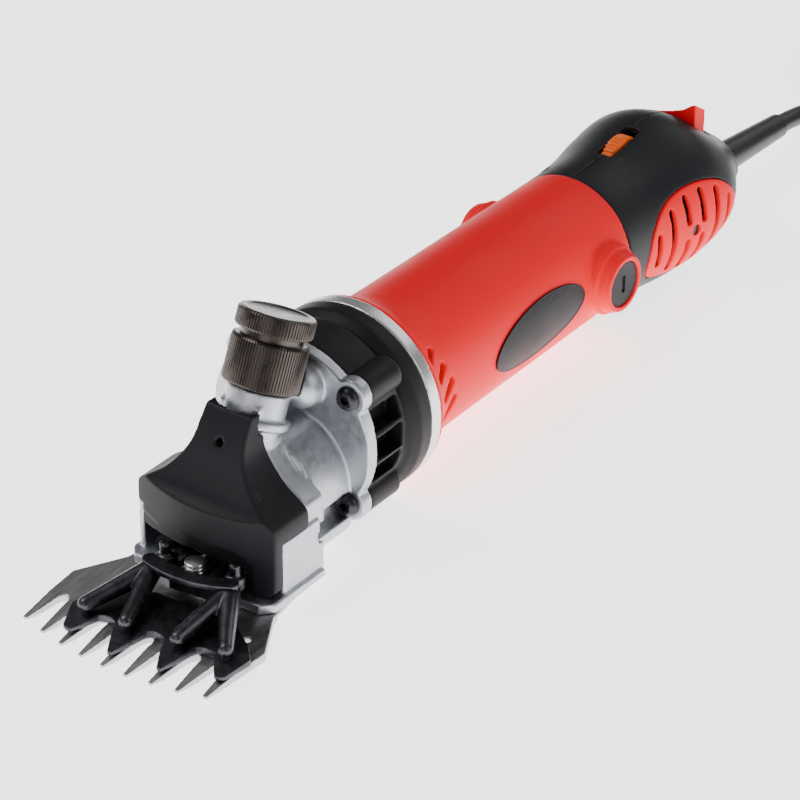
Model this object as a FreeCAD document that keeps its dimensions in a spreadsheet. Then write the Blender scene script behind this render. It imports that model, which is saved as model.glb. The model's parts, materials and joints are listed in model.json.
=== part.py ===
"""Electric sheep shears: a slim universal motor in a red barrel, a black gearbox, a cast head with a
swinging fork, and a nine-tooth comb with its cutter.  Millimetres.

Two frames are used.  The barrel frame has the motor axis along Y at z = 0, with the rear face of the
silver ring at y = 0, the comb towards -Y and the cord towards +Y.  The comb frame is the barrel frame
turned about X by barrel_tilt, so that the comb's underside is level: it is the frame in which the tool
lies on a table, resting on the comb and on the belly of the rear shell.
"""
import FreeCAD, Part
import Sketcher
import math
import os

DOC = FreeCAD.newDocument("sheep_shears")
SHEET = DOC.addObject("Spreadsheet::Sheet", "Dims")
NODES = []
V = FreeCAD.Vector
X_AXIS = V(1, 0, 0)
Z_AXIS = V(0, 0, 1)


# ---------------------------------------------------------------- dimensions and expressions

class Size:
    """A number that remembers the spreadsheet expression it comes from."""

    def __init__(self, value, text):
        self.value = float(value)
        self.text = text

    def __add__(self, other):
        return combine(self, other, "+")

    def __radd__(self, other):
        return combine(other, self, "+")

    def __sub__(self, other):
        return combine(self, other, "-")

    def __rsub__(self, other):
        return combine(other, self, "-")

    def __mul__(self, other):
        return combine(self, other, "*")

    def __rmul__(self, other):
        return combine(other, self, "*")

    def __truediv__(self, other):
        return combine(self, other, "/")

    def __neg__(self):
        return Size(-self.value, "(-" + self.text + ")")

    def __float__(self):
        return self.value


def size(x):
    return x if isinstance(x, Size) else Size(x, "(" + repr(float(x)) + ")")


def combine(a, b, sign):
    a, b = size(a), size(b)
    value = {"+": a.value + b.value, "-": a.value - b.value, "*": a.value * b.value,
             "/": a.value / b.value if b.value else 0.0}[sign]
    return Size(value, "(" + a.text + " " + sign + " " + b.text + ")")


def turn_cos(angle):
    return Size(math.cos(math.radians(angle.value)), "cos(" + angle.text + " * 1 deg)")


def turn_sin(angle):
    return Size(math.sin(math.radians(angle.value)), "sin(" + angle.text + " * 1 deg)")


class Sheet:
    """Writes each driving dimension into the spreadsheet and hands it back as a Size."""

    def __init__(self):
        self.row = 0

    def add(self, **named):
        for alias, value in named.items():
            self.row += 1
            SHEET.set("A%d" % self.row, alias)
            SHEET.set("B%d" % self.row, repr(float(value)))
            SHEET.setAlias("B%d" % self.row, alias)
            setattr(self, alias, Size(value, "Dims." + alias))


d = Sheet()
d.add(barrel_tilt=1.83, base_shift=35.2, centre_shift=-38.4)
# head and comb
d.add(tooth_pitch=9.5, tooth_count=9, comb_tip=-143.1, comb_root=-121.7, comb_thick=3.2,
      comb_under=-35.2, comb_back=-72.0, comb_half=41.0, comb_arc=115.0, comb_screw_gap=40.0,
      comb_screw_line=-80.0, pivot_line=-62.5, swing=7.2, cutter_reach=75.8, cutter_thick=3.0)
d.add(flange_face=-39.0, flange_back=-34.0, flange_round=33.0, flange_up=2.5,
      screw_half_x=24.4, screw_half_z=20.85, lug_round=6.5, head_half=29.0, joint_face=-67.0,
      cover_bow=95.4, cover_bow_line=5.2, crank_house=25.0)
d.add(knob_line=-56.6, knob_up=26.1, knob_lean=24.0, sleeve_round=13.4, cap_round=13.5,
      sleeve_low=1.6, sleeve_high=18.2, cap_low=20.6, cap_high=27.6, thread_round=5.0)
# gearbox and crank
d.add(crank_drop=14.0, crank_throw=1.96, gear_module=0.7, pinion_teeth=9, gear_teeth=31,
      gear_front=-22.0, gear_back=-14.0, box_round=32.3, ring_round=34.9, ring_thick=5.2,
      box_flange_front=-17.2)
# barrel and motor
d.add(barrel_round=28.0, barrel_end_round=27.2, barrel_long=129.3, barrel_wall=2.4,
      stator_front=44.0, stator_back=84.0, armature_round=14.4,
      shaft_round=4.0, brush_line=115.5, brush_face=32.9, boss_round=10.8, brush_cap_round=8.7)
# rear shell
d.add(tail_end=219.6, dial_line=160.0, dial_round=11.0, dial_half=2.6, dial_top=30.8,
      switch_half=10.5, switch_line=195.6, rock_up=13.0, guard_start=216.0, guard_long=60.0,
      guard_drop=-8.2, guard_lean=3.8, guard_big=6.6, guard_small=4.8, cord_round=3.75)


# ---------------------------------------------------------------- placing and binding

def bind(thing, path, value):
    """Binds a property, or one part of it, to a sheet expression."""
    value = size(value)
    thing.setExpression(path, value.text)


def barrel_to_row(y, z):
    """Where a point of the barrel frame lies once the tool is turned level and moved to its origin."""
    y, z = size(y), size(z)
    cos_t, sin_t = turn_cos(d.barrel_tilt), turn_sin(d.barrel_tilt)
    return y * cos_t + z * sin_t + d.centre_shift, z * cos_t - y * sin_t + d.base_shift


def seat(thing, x, y, z, axis, angle):
    """Gives a finished sub-part its place: every number comes from the sheet."""
    thing.Placement = FreeCAD.Placement(V(float(x), float(y), float(z)),
                                        FreeCAD.Rotation(axis, float(angle)))
    for name, value in (("x", x), ("y", y), ("z", z)):
        bind(thing, "Placement.Base." + name, value)
    if float(angle):
        thing.setExpression("Placement.Rotation.Angle", angle.text + " * 1 deg")


def finish(thing, label):
    thing.Label = label
    NODES.append(thing)
    return thing


def in_barrel(thing, label, x=0.0, y=0.0, z=0.0, lean=None):
    """A sub-part drawn in the barrel frame, about the point x, y, z, leaning back by lean."""
    row_y, row_z = barrel_to_row(y, z)
    angle = d.barrel_tilt if lean is None else d.barrel_tilt + lean
    seat(thing, size(x), row_y, row_z, V(-1, 0, 0), angle)
    return finish(thing, label)


def in_comb(thing, label):
    """A sub-part drawn in the comb frame."""
    seat(thing, size(0.0), d.centre_shift, d.base_shift, Z_AXIS, size(0.0))
    return finish(thing, label)


def in_fork(thing, label):
    """A sub-part of the swinging group: drawn about the pivot, pointing straight ahead."""
    seat(thing, size(0.0), d.pivot_line + d.centre_shift, d.base_shift, Z_AXIS, d.swing)
    return finish(thing, label)


def in_knob(thing, label):
    """A sub-part drawn about the tension axis, which leans back from the head."""
    return in_barrel(thing, label, 0.0, d.knob_line, d.knob_up, d.knob_lean)


def in_crank(thing, label):
    """A sub-part drawn about the crank axis, below the motor axis."""
    return in_barrel(thing, label, 0.0, 0.0, -d.crank_drop)


# ---------------------------------------------------------------- Part primitives and booleans

TURNS = {"X": FreeCAD.Rotation(V(0, 1, 0), 90), "Y": FreeCAD.Rotation(X_AXIS, -90),
         "Z": FreeCAD.Rotation()}


def put(thing, x, y, z, turn):
    thing.Placement = FreeCAD.Placement(V(float(x), float(y), float(z)), turn)
    for name, value in (("x", x), ("y", y), ("z", z)):
        if isinstance(value, Size):
            bind(thing, "Placement.Base." + name, value)
    return thing


def rod(radius, start, end, x=0.0, y=0.0, z=0.0, along="Y"):
    """A cylinder from start to end along an axis; x, y, z give the other two coordinates."""
    thing = DOC.addObject("Part::Cylinder", "rod")
    bind(thing, "Radius", radius)
    bind(thing, "Height", end - start)
    at = {"X": (start, y, z), "Y": (x, start, z), "Z": (x, y, start)}[along]
    return put(thing, *at, TURNS[along])


def cone(radius_a, radius_b, start, end, x=0.0, y=0.0, z=0.0, along="Y"):
    thing = DOC.addObject("Part::Cone", "cone")
    bind(thing, "Radius1", radius_a)
    bind(thing, "Radius2", radius_b)
    bind(thing, "Height", end - start)
    at = {"X": (start, y, z), "Y": (x, start, z), "Z": (x, y, start)}[along]
    return put(thing, *at, TURNS[along])


def block(low, high):
    thing = DOC.addObject("Part::Box", "block")
    for name, a, b in zip(("Length", "Width", "Height"), low, high):
        bind(thing, name, b - a)
    return put(thing, *low, FreeCAD.Rotation())


def ball(radius, x, y, z):
    thing = DOC.addObject("Part::Sphere", "ball")
    bind(thing, "Radius", radius)
    return put(thing, x, y, z, FreeCAD.Rotation())


def strut(radius_a, radius_b, start, end):
    """A tapered round bar between two points."""
    start, end = V(*[float(v) for v in start]), V(*[float(v) for v in end])
    thing = DOC.addObject("Part::Cone", "strut")
    bind(thing, "Radius1", radius_a)
    bind(thing, "Radius2", radius_b)
    thing.Height = (end - start).Length
    thing.Placement = FreeCAD.Placement(start, FreeCAD.Rotation(Z_AXIS, end - start))
    return thing


def fuse(*things):
    if len(things) == 1:
        return things[0]
    thing = DOC.addObject("Part::MultiFuse", "fuse")
    thing.Shapes = list(things)
    thing.Refine = True
    return thing


def cut(base, *tools):
    thing = DOC.addObject("Part::Cut", "cut")
    thing.Base = base
    thing.Tool = fuse(*tools)
    return thing


def common(a, b):
    thing = DOC.addObject("Part::Common", "common")
    thing.Base = a
    thing.Tool = b
    return thing


def tube(outer, inner, start, end, x=0.0, y=0.0, z=0.0, along="Y"):
    return cut(rod(outer, start, end, x, y, z, along), rod(inner, start, end, x, y, z, along))


def group(*things):
    """Separate solids kept together as one sub-part."""
    thing = DOC.addObject("Part::Compound", "group")
    thing.Links = list(things)
    return thing


def slanted_prism(corners, path):
    """A closed outline of straight lines, carried along a path."""
    wire = DOC.addObject("Part::Polygon", "corners")
    wire.Nodes = [V(*[float(v) for v in corner]) for corner in corners]
    wire.Close = True
    path = V(*[float(v) for v in path])
    thing = DOC.addObject("Part::Extrusion", "prism")
    thing.Base = wire
    thing.DirMode = "Custom"
    thing.Dir = path
    thing.LengthFwd = path.Length
    thing.Solid = True
    return thing


# ---------------------------------------------------------------- smooth outlines

def smooth_span(before, start, end, after, steps):
    """Points along a smooth curve from start up to end, with its slopes taken from the neighbours."""
    span = []
    for k in range(steps):
        t = k / steps
        span.append(tuple(0.5 * (2 * q + (r - p) * t + (2 * p - 5 * q + 4 * r - w) * t * t
                                 + (3 * q - p - 3 * r + w) * t ** 3)
                          for p, q, r, w in zip(before, start, end, after)))
    return span


def smooth_line(points, steps):
    """An open smooth curve through the points, as a fine line of straight runs."""
    ends = [points[0]] + list(points) + [points[-1]]
    line = []
    for before, start, end, after in zip(ends, ends[1:], ends[2:], ends[3:]):
        line += smooth_span(before, start, end, after, steps)
    return line + [tuple(points[-1])]


def smooth_loop(points, steps):
    """A closed smooth curve through the points, as a fine polygon."""
    count = len(points)
    loop = []
    for i in range(count):
        loop += smooth_span(*[points[(i + k) % count] for k in (-1, 0, 1, 2)], steps)
    return loop


# ---------------------------------------------------------------- PartDesign bodies

def new_body():
    return DOC.addObject("PartDesign::Body", "body")


def outline(body, plane, points, offset=None):
    """A closed sketch of straight lines on an origin plane, each corner bound to the sheet."""
    sketch = body.newObject("Sketcher::SketchObject", "outline")
    role = [f for f in body.Origin.OriginFeatures if f.Role == plane][0]
    sketch.AttachmentSupport = [(role, "")]
    sketch.MapMode = "FlatFace"
    if offset is not None:
        bind(sketch, "AttachmentOffset.Base.z", offset)
    count = len(points)
    for i in range(count):
        a, b = points[i], points[(i + 1) % count]
        sketch.addGeometry(Part.LineSegment(V(float(a[0]), float(a[1]), 0), V(float(b[0]), float(b[1]), 0)))
    for i in range(count):
        sketch.addConstraint(Sketcher.Constraint("Coincident", i, 2, (i + 1) % count, 1))
    for i, (u, v) in enumerate(points):
        for kind, axis, value in (("DistanceX", -2, u), ("DistanceY", -1, v)):
            if abs(float(value)) < 1e-9:
                sketch.addConstraint(Sketcher.Constraint("PointOnObject", i, 1, axis))
                continue
            index = sketch.addConstraint(Sketcher.Constraint(kind, -1, 1, i, 1, float(value)))
            if isinstance(value, Size):
                sketch.setExpression("Constraints[%d]" % index, value.text)
    return sketch


def pad(body, sketch, length, backwards=False, both=False):
    feature = body.newObject("PartDesign::Pad", "pad")
    feature.Profile = sketch
    feature.Length = float(length)
    bind(feature, "Length", length)
    feature.Midplane = both
    feature.Reversed = backwards
    body.Tip = feature
    return feature


def pocket(body, sketch, length, backwards=False, both=False):
    feature = body.newObject("PartDesign::Pocket", "pocket")
    feature.Profile = sketch
    feature.Length = float(length)
    bind(feature, "Length", length)
    feature.Midplane = both
    feature.Reversed = backwards
    body.Tip = feature
    return feature


def turned(points):
    """A body turned about the Y axis from a half outline of (y, radius) corners."""
    body = new_body()
    sketch = outline(body, "YZ_Plane", points)
    feature = body.newObject("PartDesign::Revolution", "turned")
    feature.Profile = sketch
    feature.ReferenceAxis = (sketch, ["H_Axis"])
    feature.Angle = 360
    body.Tip = feature
    return body


def upright(points):
    """A body turned about the Z axis from a half outline of (radius, z) corners."""
    body = new_body()
    sketch = outline(body, "XZ_Plane", points)
    feature = body.newObject("PartDesign::Revolution", "turned")
    feature.Profile = sketch
    feature.ReferenceAxis = (sketch, ["V_Axis"])
    feature.Angle = 360
    body.Tip = feature
    return body


# ---------------------------------------------------------------- comb, cutter and fork

def comb():
    """Nine teeth on an arc about the fork's pivot, wide outer teeth, and a thin slotted back."""
    half = (float(d.tooth_count) - 1) / 2
    right = [(d.comb_half, d.comb_tip + 35.5), (31.0, d.comb_tip + 53.0), (28.5, d.comb_back)]
    left = [(-u, v) for u, v in reversed(right)]
    front = []
    for i in range(int(d.tooth_count.value)):
        x = (i - half) * d.tooth_pitch
        tip = d.comb_tip + x * x / (2 * d.comb_arc)
        outer = 0.7 if abs(i - half) < half else 0.9
        if i:
            gap = x - d.tooth_pitch / 2
            root = d.comb_root + gap * gap / (5 * d.comb_arc)
            front += [(gap + 1.1, root), (gap + 1.9, root - 1.9)]
        front += [(x - outer, tip + 0.6), (x + outer, tip + 0.6)]
        if i < d.tooth_count.value - 1:
            gap = x + d.tooth_pitch / 2
            root = d.comb_root + gap * gap / (5 * d.comb_arc)
            front += [(gap - 1.9, root - 1.9), (gap - 1.1, root)]
    body = new_body()
    plate = outline(body, "XY_Plane", left + front + right, d.comb_under)
    pad(body, plate, d.comb_thick)
    top = d.comb_under + d.comb_thick
    slope = outline(body, "YZ_Plane", [(d.comb_tip + 14, top + 1), (d.comb_tip + 14, top),
                                       (d.comb_tip - 2, top - 1.5), (d.comb_tip - 2, top + 1)])
    pocket(body, slope, 120, both=True)
    nose = outline(body, "YZ_Plane", [(d.comb_tip + 6, d.comb_under - 1), (d.comb_tip + 6, d.comb_under),
                                      (d.comb_tip - 2, d.comb_under + 1.1),
                                      (d.comb_tip - 2, d.comb_under - 1)])
    pocket(body, nose, 120, both=True)
    low = d.comb_screw_line - 8
    back = outline(body, "YZ_Plane", [(low, d.comb_under - 1), (d.comb_back + 2, d.comb_under - 1),
                                      (d.comb_back + 2, d.comb_under + 1.7), (low, d.comb_under + 1.7)])
    pocket(body, back, 120, both=True)
    slots = []
    for side in (-1, 1):
        x = side * d.comb_screw_gap / 2
        line = d.comb_screw_line
        slots.append(rod(2.7, d.comb_under - 1, d.comb_under + 5, x, line, along="Z"))
        slots.append(block((x - 2.7, line, d.comb_under - 1), (x + 2.7, d.comb_back + 2, d.comb_under + 5)))
    slots.append(rod(1.4, d.comb_under - 1, d.comb_under + 5, 31.5, d.comb_tip + 38.0, along="Z"))
    return in_comb(cut(body, *slots), "comb")


def comb_screws():
    """Two low-headed screws, driven up through the comb's slots into the head casting."""
    screws = []
    for side in (-1, 1):
        x = side * d.comb_screw_gap / 2
        head = rod(5.0, d.comb_under + 0.1, d.comb_under + 1.65, x, d.comb_screw_line, along="Z")
        shank = rod(2.45, d.comb_under + 1.0, d.comb_under + 10.5, x, d.comb_screw_line, along="Z")
        slot = block((x - 4.5, d.comb_screw_line - 0.6, d.comb_under),
                     (x + 4.5, d.comb_screw_line + 0.6, d.comb_under + 0.9))
        screws.append(cut(fuse(head, shank), slot))
    return in_comb(group(*screws), "comb_screws")


def cutter_floor():
    return d.comb_under + d.comb_thick + 0.1


def cutter_top():
    return cutter_floor() + d.cutter_thick


def cutter():
    """Four teeth, one for every second comb tooth, swinging over the comb's top face."""
    front = []
    teeth = 4
    for i in range(teeth):
        x = (i - (teeth - 1) / 2) * 2 * d.tooth_pitch
        tip = -d.cutter_reach + x * x / (2 * d.cutter_reach)
        if i:
            front += [(x - 8.2, -d.cutter_reach + 15.6), (x - 5.4, -d.cutter_reach + 14.0)]
        else:
            front += [(x - 6.0, -d.cutter_reach + 17.5), (x - 5.4, -d.cutter_reach + 15.0)]
        front += [(x - 0.7, tip), (x + 0.7, tip)]
        if i < teeth - 1:
            front += [(x + 5.4, -d.cutter_reach + 14.0), (x + 8.2, -d.cutter_reach + 15.6)]
        else:
            front += [(x + 5.4, -d.cutter_reach + 15.0), (x + 6.0, -d.cutter_reach + 17.5)]
    right = [(30.0, -d.cutter_reach + 23.5), (21.0, -d.cutter_reach + 31.0),
             (12.0, -d.cutter_reach + 35.0), (5.0, -d.cutter_reach + 34.2)]
    back = right + [(-u, v) for u, v in reversed(right)]
    body = new_body()
    plate = outline(body, "XY_Plane", front + back, cutter_floor())
    pad(body, plate, d.cutter_thick)
    top = cutter_top()
    slope = outline(body, "YZ_Plane", [(-d.cutter_reach + 12, top + 1), (-d.cutter_reach + 12, top),
                                       (-d.cutter_reach - 1, top - 1.6), (-d.cutter_reach - 1, top + 1)])
    pocket(body, slope, 100, both=True)
    dimples = [rod(1.7, top - 1.0, top + 1, x, y, along="Z") for x, y in yoke_feet()]
    return in_fork(cut(body, *dimples), "cutter")


def yoke_feet():
    """Where the four yoke fingers press, one near the root of each cutter tooth."""
    near, far = d.tooth_pitch + 0.4, 3 * d.tooth_pitch - 1.5
    return [(-far, -61.5), (-near, -63.5), (near, -63.5), (far, -61.5)]


YOKE_TOP = (15.0, -38.8, -21.6)
POST_LINE = -35.7


def mirrored(thing):
    """The same shape on the other side of the tool's middle plane."""
    other = DOC.addObject("Part::Mirroring", "mirrored")
    other.Source = thing
    other.Normal = X_AXIS
    return other


def yoke_shape():
    """A two-fingered yoke, on the left, that spreads the fork's pressure over two cutter teeth."""
    x, y, z = YOKE_TOP
    apex = (-x, y, z)
    floor = float(cutter_top())
    pieces = [ball(3.8, *apex)]
    for foot in yoke_feet()[:2]:
        u, v = float(foot[0]), float(foot[1])
        end = (u, v, floor + 3.2)
        pieces.append(strut(3.8, 2.7, apex, end))
        pieces.append(ball(2.7, *end))
        pieces.append(rod(1.5, floor - 0.9, floor + 3.2, u, v, along="Z"))
    return fuse(*pieces)


def yokes():
    in_fork(group(yoke_shape()), "yoke_left")
    in_fork(group(mirrored(yoke_shape())), "yoke_right")


def yoke_strip():
    """The bowed retaining strip, hollowed underneath to sit on the tops of both yokes."""
    x, y, z = YOKE_TOP
    low, high = z + 2.2, z + 4.4
    half, bow, wide = x + 0.6, 3.2, 2.8
    radius = (half * half + bow * bow) / (2 * bow)
    middle = y - bow + radius
    arc = tube(size(radius + wide), size(radius - wide), size(low), size(high), 0.0, middle, along="Z")
    band = common(arc, block((-half, y - bow - wide, low - 1), (half, y + 12.0, high + 1)))
    ends = [rod(wide, low, high, side * half, y, along="Z") for side in (-1, 1)]
    notch = rod(3.9, low - 1, high + 1, 0.0, POST_LINE, along="Z")
    saddles = [strut(3.9, 2.8, (side * x, y, z), (side * foot[0], foot[1], cutter_top() + 3.2))
               for side in (-1, 1) for foot in yoke_feet()[2:]]
    domes = [ball(3.9, side * x, y, z) for side in (-1, 1)]
    return in_fork(cut(fuse(band, *ends), notch, *saddles, *domes), "yoke_strip")


def fork():
    """The swinging fork: a hub on the pivot post, two arms to the yokes, a front plate and a tail."""
    x, y, z = YOKE_TOP
    hub = rod(8.0, -24.5, -12.0, along="Z")
    arms = [strut(3.8, 2.8, (side * 3.5, -4.0, -21.0), (side * 13.5, y + 6.5, z - 2.2))
            for side in (-1, 1)]
    finger = strut(3.0, 2.6, (0.0, -4.0, -22.2), (0.0, POST_LINE, -22.2))
    pad_end = rod(3.5, -24.8, -20.6, 0.0, POST_LINE, along="Z")
    ends = [rod(3.5, z - 2.2, z + 2.8, side * 13.5, y + 6.5, along="Z") for side in (-1, 1)]
    pegs = [rod(2.0, z + 2.0, z + 7.4, side * 13.5, y + 6.5, along="Z") for side in (-1, 1)]
    necks = [strut(2.6, 2.3, (side * 13.5, y + 6.5, z + 0.4), (side * x, y + 1.0, z)) for side in (-1, 1)]
    saddle = block((-5.0, -15.5, -18.5), (5.0, 0.0, -12.2))
    tail = block((-5.6, 0.0, -19.5), (5.6, 19.2, -8.9))
    plate = block((-9.0, y + 0.5, -28.0), (9.0, y + 4.9, -21.2))
    shape = fuse(hub, saddle, tail, finger, pad_end, plate, *arms, *ends, *pegs, *necks)
    seat_hole = rod(4.05, -25.0, -19.8, along="Z")
    cup = rod(4.05, 12.6, 19.5, 0.0, 0.0, -14.2)
    ball_seats = [ball(3.9, side * x, y, z) for side in (-1, 1)]
    return in_fork(cut(shape, seat_hole, cup, *ball_seats), "fork")


def crank_roller():
    """The roller in the fork's tail, which the crank's pin drives."""
    return in_fork(tube(4.0, 2.3, 12.7, 19.0, 0.0, 0.0, -14.2), "crank_roller")


def yoke_post():
    """The ringed steel post between the two yokes, standing on the fork's middle finger."""
    post = rod(2.9, -19.55, -15.1, 0.0, POST_LINE, along="Z")
    rings = [tube(3.5, 2.8, low, low + 0.8, 0.0, POST_LINE, along="Z") for low in (-19.1, -17.6, -16.1)]
    return in_fork(fuse(post, *rings), "yoke_post")


def fork_pivot_post():
    post = rod(4.0, -29.8, -20.4, along="Z")
    foot = rod(5.5, -30.9, -29.4, along="Z")
    shape = fuse(post, foot)
    return in_comb_at_pivot(shape, "fork_pivot_post")


def in_comb_at_pivot(thing, label):
    seat(thing, size(0.0), d.pivot_line + d.centre_shift, d.base_shift, Z_AXIS, size(0.0))
    return finish(thing, label)


# ---------------------------------------------------------------- tension knob

def tension_pin():
    foot = -38.7
    shank = rod(4.9, foot, 17.0, along="Z")
    nose = ball(4.9, 0.0, 0.0, foot)
    slot = block((-6.0, -0.7, 15.6), (6.0, 0.7, 18.0))
    return in_knob(cut(fuse(shank, nose), slot), "tension_pin")


def tension_nut():
    """The lower knurled sleeve, with the smooth neck that the lock cap turns on."""
    skirt = rod(d.sleeve_round, d.sleeve_low, d.sleeve_high, along="Z")
    neck = rod(10.9, d.sleeve_high, d.cap_low + 2.4, along="Z")
    bore = rod(d.thread_round, d.sleeve_low - 1, d.cap_high, along="Z")
    spring_room = rod(8.6, d.sleeve_low - 1, 12.0, along="Z")
    return in_knob(cut(fuse(skirt, neck), bore, spring_room), "tension_nut")


def lock_cap():
    skirt = rod(d.cap_round, d.cap_low, d.cap_high, along="Z")
    room = rod(11.2, d.cap_low - 1, d.cap_low + 2.7, along="Z")
    return in_knob(cut(skirt, room), "lock_cap")


def tension_spring():
    """The stack of spring rings around the pin, inside the sleeve."""
    rings = [tube(8.0, 5.3, 2.2 + 1.9 * i, 3.3 + 1.9 * i, along="Z") for i in range(5)]
    return in_knob(group(*rings), "tension_spring")


# ---------------------------------------------------------------- head casting and cover

def bell(grow, low):
    """The bell-shaped front outline of the head, as (x, z) corners; grow moves it outwards."""
    half = float(d.head_half)
    flare = smooth_line([(9.4, 26.0), (10.4, 15.5), (13.4, 9.0), (19.0, 2.4), (half - 1.9, -3.2),
                         (half - 0.4, -5.0)], 4)
    right = [(u + grow, v) for u, v in flare] + [(d.head_half + grow, -7.0), (d.head_half + grow, low)]
    return right + [(-u, v) for u, v in reversed(right)]


def prism_y(points, start, end):
    """A straight prism along Y from corners given as (x, z)."""
    body = new_body()
    pad(body, outline(body, "XZ_Plane", points, -start), end - start, backwards=True)
    return body


def prism_x(points, half):
    """A prism along X, centred, from corners given as (y, z)."""
    body = new_body()
    pad(body, outline(body, "YZ_Plane", points), 2 * half, both=True)
    return body


def level_cut(y_from, y_to, z):
    """A block that removes everything below a level of the comb frame, used inside the barrel frame."""
    thing = DOC.addObject("Part::Box", "level")
    thing.Length, thing.Width, thing.Height = 120, float(y_to) - float(y_from), 30
    turn = FreeCAD.Rotation(X_AXIS, float(d.barrel_tilt))
    low = turn.multVec(V(-60, float(y_from), float(z) - 30))
    thing.Placement = FreeCAD.Placement(low, turn)
    return thing


def knob_rod(radius, start, end):
    """A cylinder on the tension axis, in the barrel frame."""
    thing = DOC.addObject("Part::Cylinder", "rod")
    bind(thing, "Radius", radius)
    bind(thing, "Height", end - start)
    lean = float(d.knob_lean)
    turn = FreeCAD.Rotation(V(-1, 0, 0), lean)
    base = V(0, float(d.knob_line), float(d.knob_up)) + turn.multVec(V(0, 0, float(start)))
    thing.Placement = FreeCAD.Placement(base, turn)
    return thing


def flange_screw_places():
    """Four corners; the upper left one stands a little further in, beside the knob."""
    x, z = d.screw_half_x, d.screw_half_z
    return [(-x, d.flange_up - z), (-x + 3.2, d.flange_up + z + 2.8), (x, d.flange_up - z),
            (x, d.flange_up + z)]


def head_casting():
    """The die-cast head: a lugged flange, the crank's round house, the bell and the comb's seat."""
    plate = rod(d.flange_round, d.flange_face, d.flange_back, 0.0, 0.0, d.flange_up)
    lugs = [rod(d.lug_round, d.flange_face, d.flange_back, x, 0.0, z) for x, z in flange_screw_places()]
    house = rod(d.crank_house, -58.0, d.flange_face + 1, 0.0, 0.0, -d.crank_drop + 1)
    dome = fuse(rod(8.4, -6.0, 6.0, 0.0, -40.5, 23.0, along="X"),
                *[ball(8.4, side * 6.0, -40.5, 23.0) for side in (-1, 1)])
    dome = common(dome, block((-20.0, -60.0, 0.0), (20.0, -37.0, 40.0)))
    lobes = [rod(7.5, -60.0, d.flange_face + 1, side * 17.5, 0.0, -24.5) for side in (-1, 1)]
    back = prism_y(bell(-1.2, -36.5), d.joint_face, -57.0)
    lip_corner = [(30.5, -60.0), (30.5, -87.0), (26.5, -91.5)]
    lip_left = [(-u, v) for u, v in reversed(lip_corner)]
    seat_block = new_body()
    pad(seat_block, outline(seat_block, "XY_Plane", lip_corner + lip_left, size(-38.0)), size(7.0))
    walls = [block((-29.0, -85.6, -36.0), (-26.5, -61.0, -13.2)),
             block((26.5, -81.1, -36.0), (29.0, -61.0, -11.2))]
    boss = knob_rod(11.0, -24.0, d.sleeve_low - 0.6)
    lip = knob_rod(13.2, -11.0, -8.0)
    shape = fuse(plate, house, dome, back, seat_block, boss, lip, *lugs, *lobes, *walls)
    crank_room = rod(17.5, -62.0, d.flange_back + 1, 0.0, 0.0, -d.crank_drop)
    fork_room = block((-25.5, -95.0, -30.6), (25.5, -60.0, -8.0))
    upper_room = block((-8.0, -70.0, -10.0), (8.0, -62.0, 3.0))
    pin_bore = knob_rod(5.0, -40.0, 3.0)
    sleeve_room = knob_rod(d.sleeve_round + 0.5, d.sleeve_low - 0.6, 40.0)
    cap_room = knob_rod(d.cap_round + 0.6, d.cap_low - 0.8, 40.0)
    head_room = [rod(4.9, -62.0, d.flange_face, x, 0.0, z) for x, z in flange_screw_places()]
    under = level_cut(-100.0, -58.0, d.comb_under + d.comb_thick)
    under_back = level_cut(-58.5, -30.0, d.comb_under + 0.6)
    screws = [rod(2.2, d.flange_face - 1, d.flange_back + 1, x, 0.0, z) for x, z in flange_screw_places()]
    return in_barrel(cut(shape, crank_room, fork_room, upper_room, pin_bore, sleeve_room, cap_room, under,
                         under_back, *screws, *head_room, *comb_screw_holes(), post_hole()),
                     "head_casting")


def comb_frame_rod(radius, low, high, x, y):
    """An upright cylinder of the comb frame, used inside the barrel frame."""
    thing = DOC.addObject("Part::Cylinder", "rod")
    bind(thing, "Radius", radius)
    bind(thing, "Height", high - low)
    turn = FreeCAD.Rotation(X_AXIS, float(d.barrel_tilt))
    base = turn.multVec(V(float(x), float(y), float(low)))
    thing.Placement = FreeCAD.Placement(base, turn)
    return thing


def comb_screw_holes():
    return [comb_frame_rod(2.5, size(-36.0), size(-24.0), side * d.comb_screw_gap / 2, d.comb_screw_line)
            for side in (-1, 1)]


def post_hole():
    return fuse(comb_frame_rod(size(4.0), size(-36.0), size(-20.0), 0.0, d.pivot_line),
                comb_frame_rod(size(5.55), size(-36.0), size(-29.35), 0.0, d.pivot_line))


def bowed(radius):
    """An upright cylinder whose front follows the bow of the cover's face in plan."""
    return rod(radius, size(-45.0), size(40.0), 0.0, d.cover_bow_line, along="Z")


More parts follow.
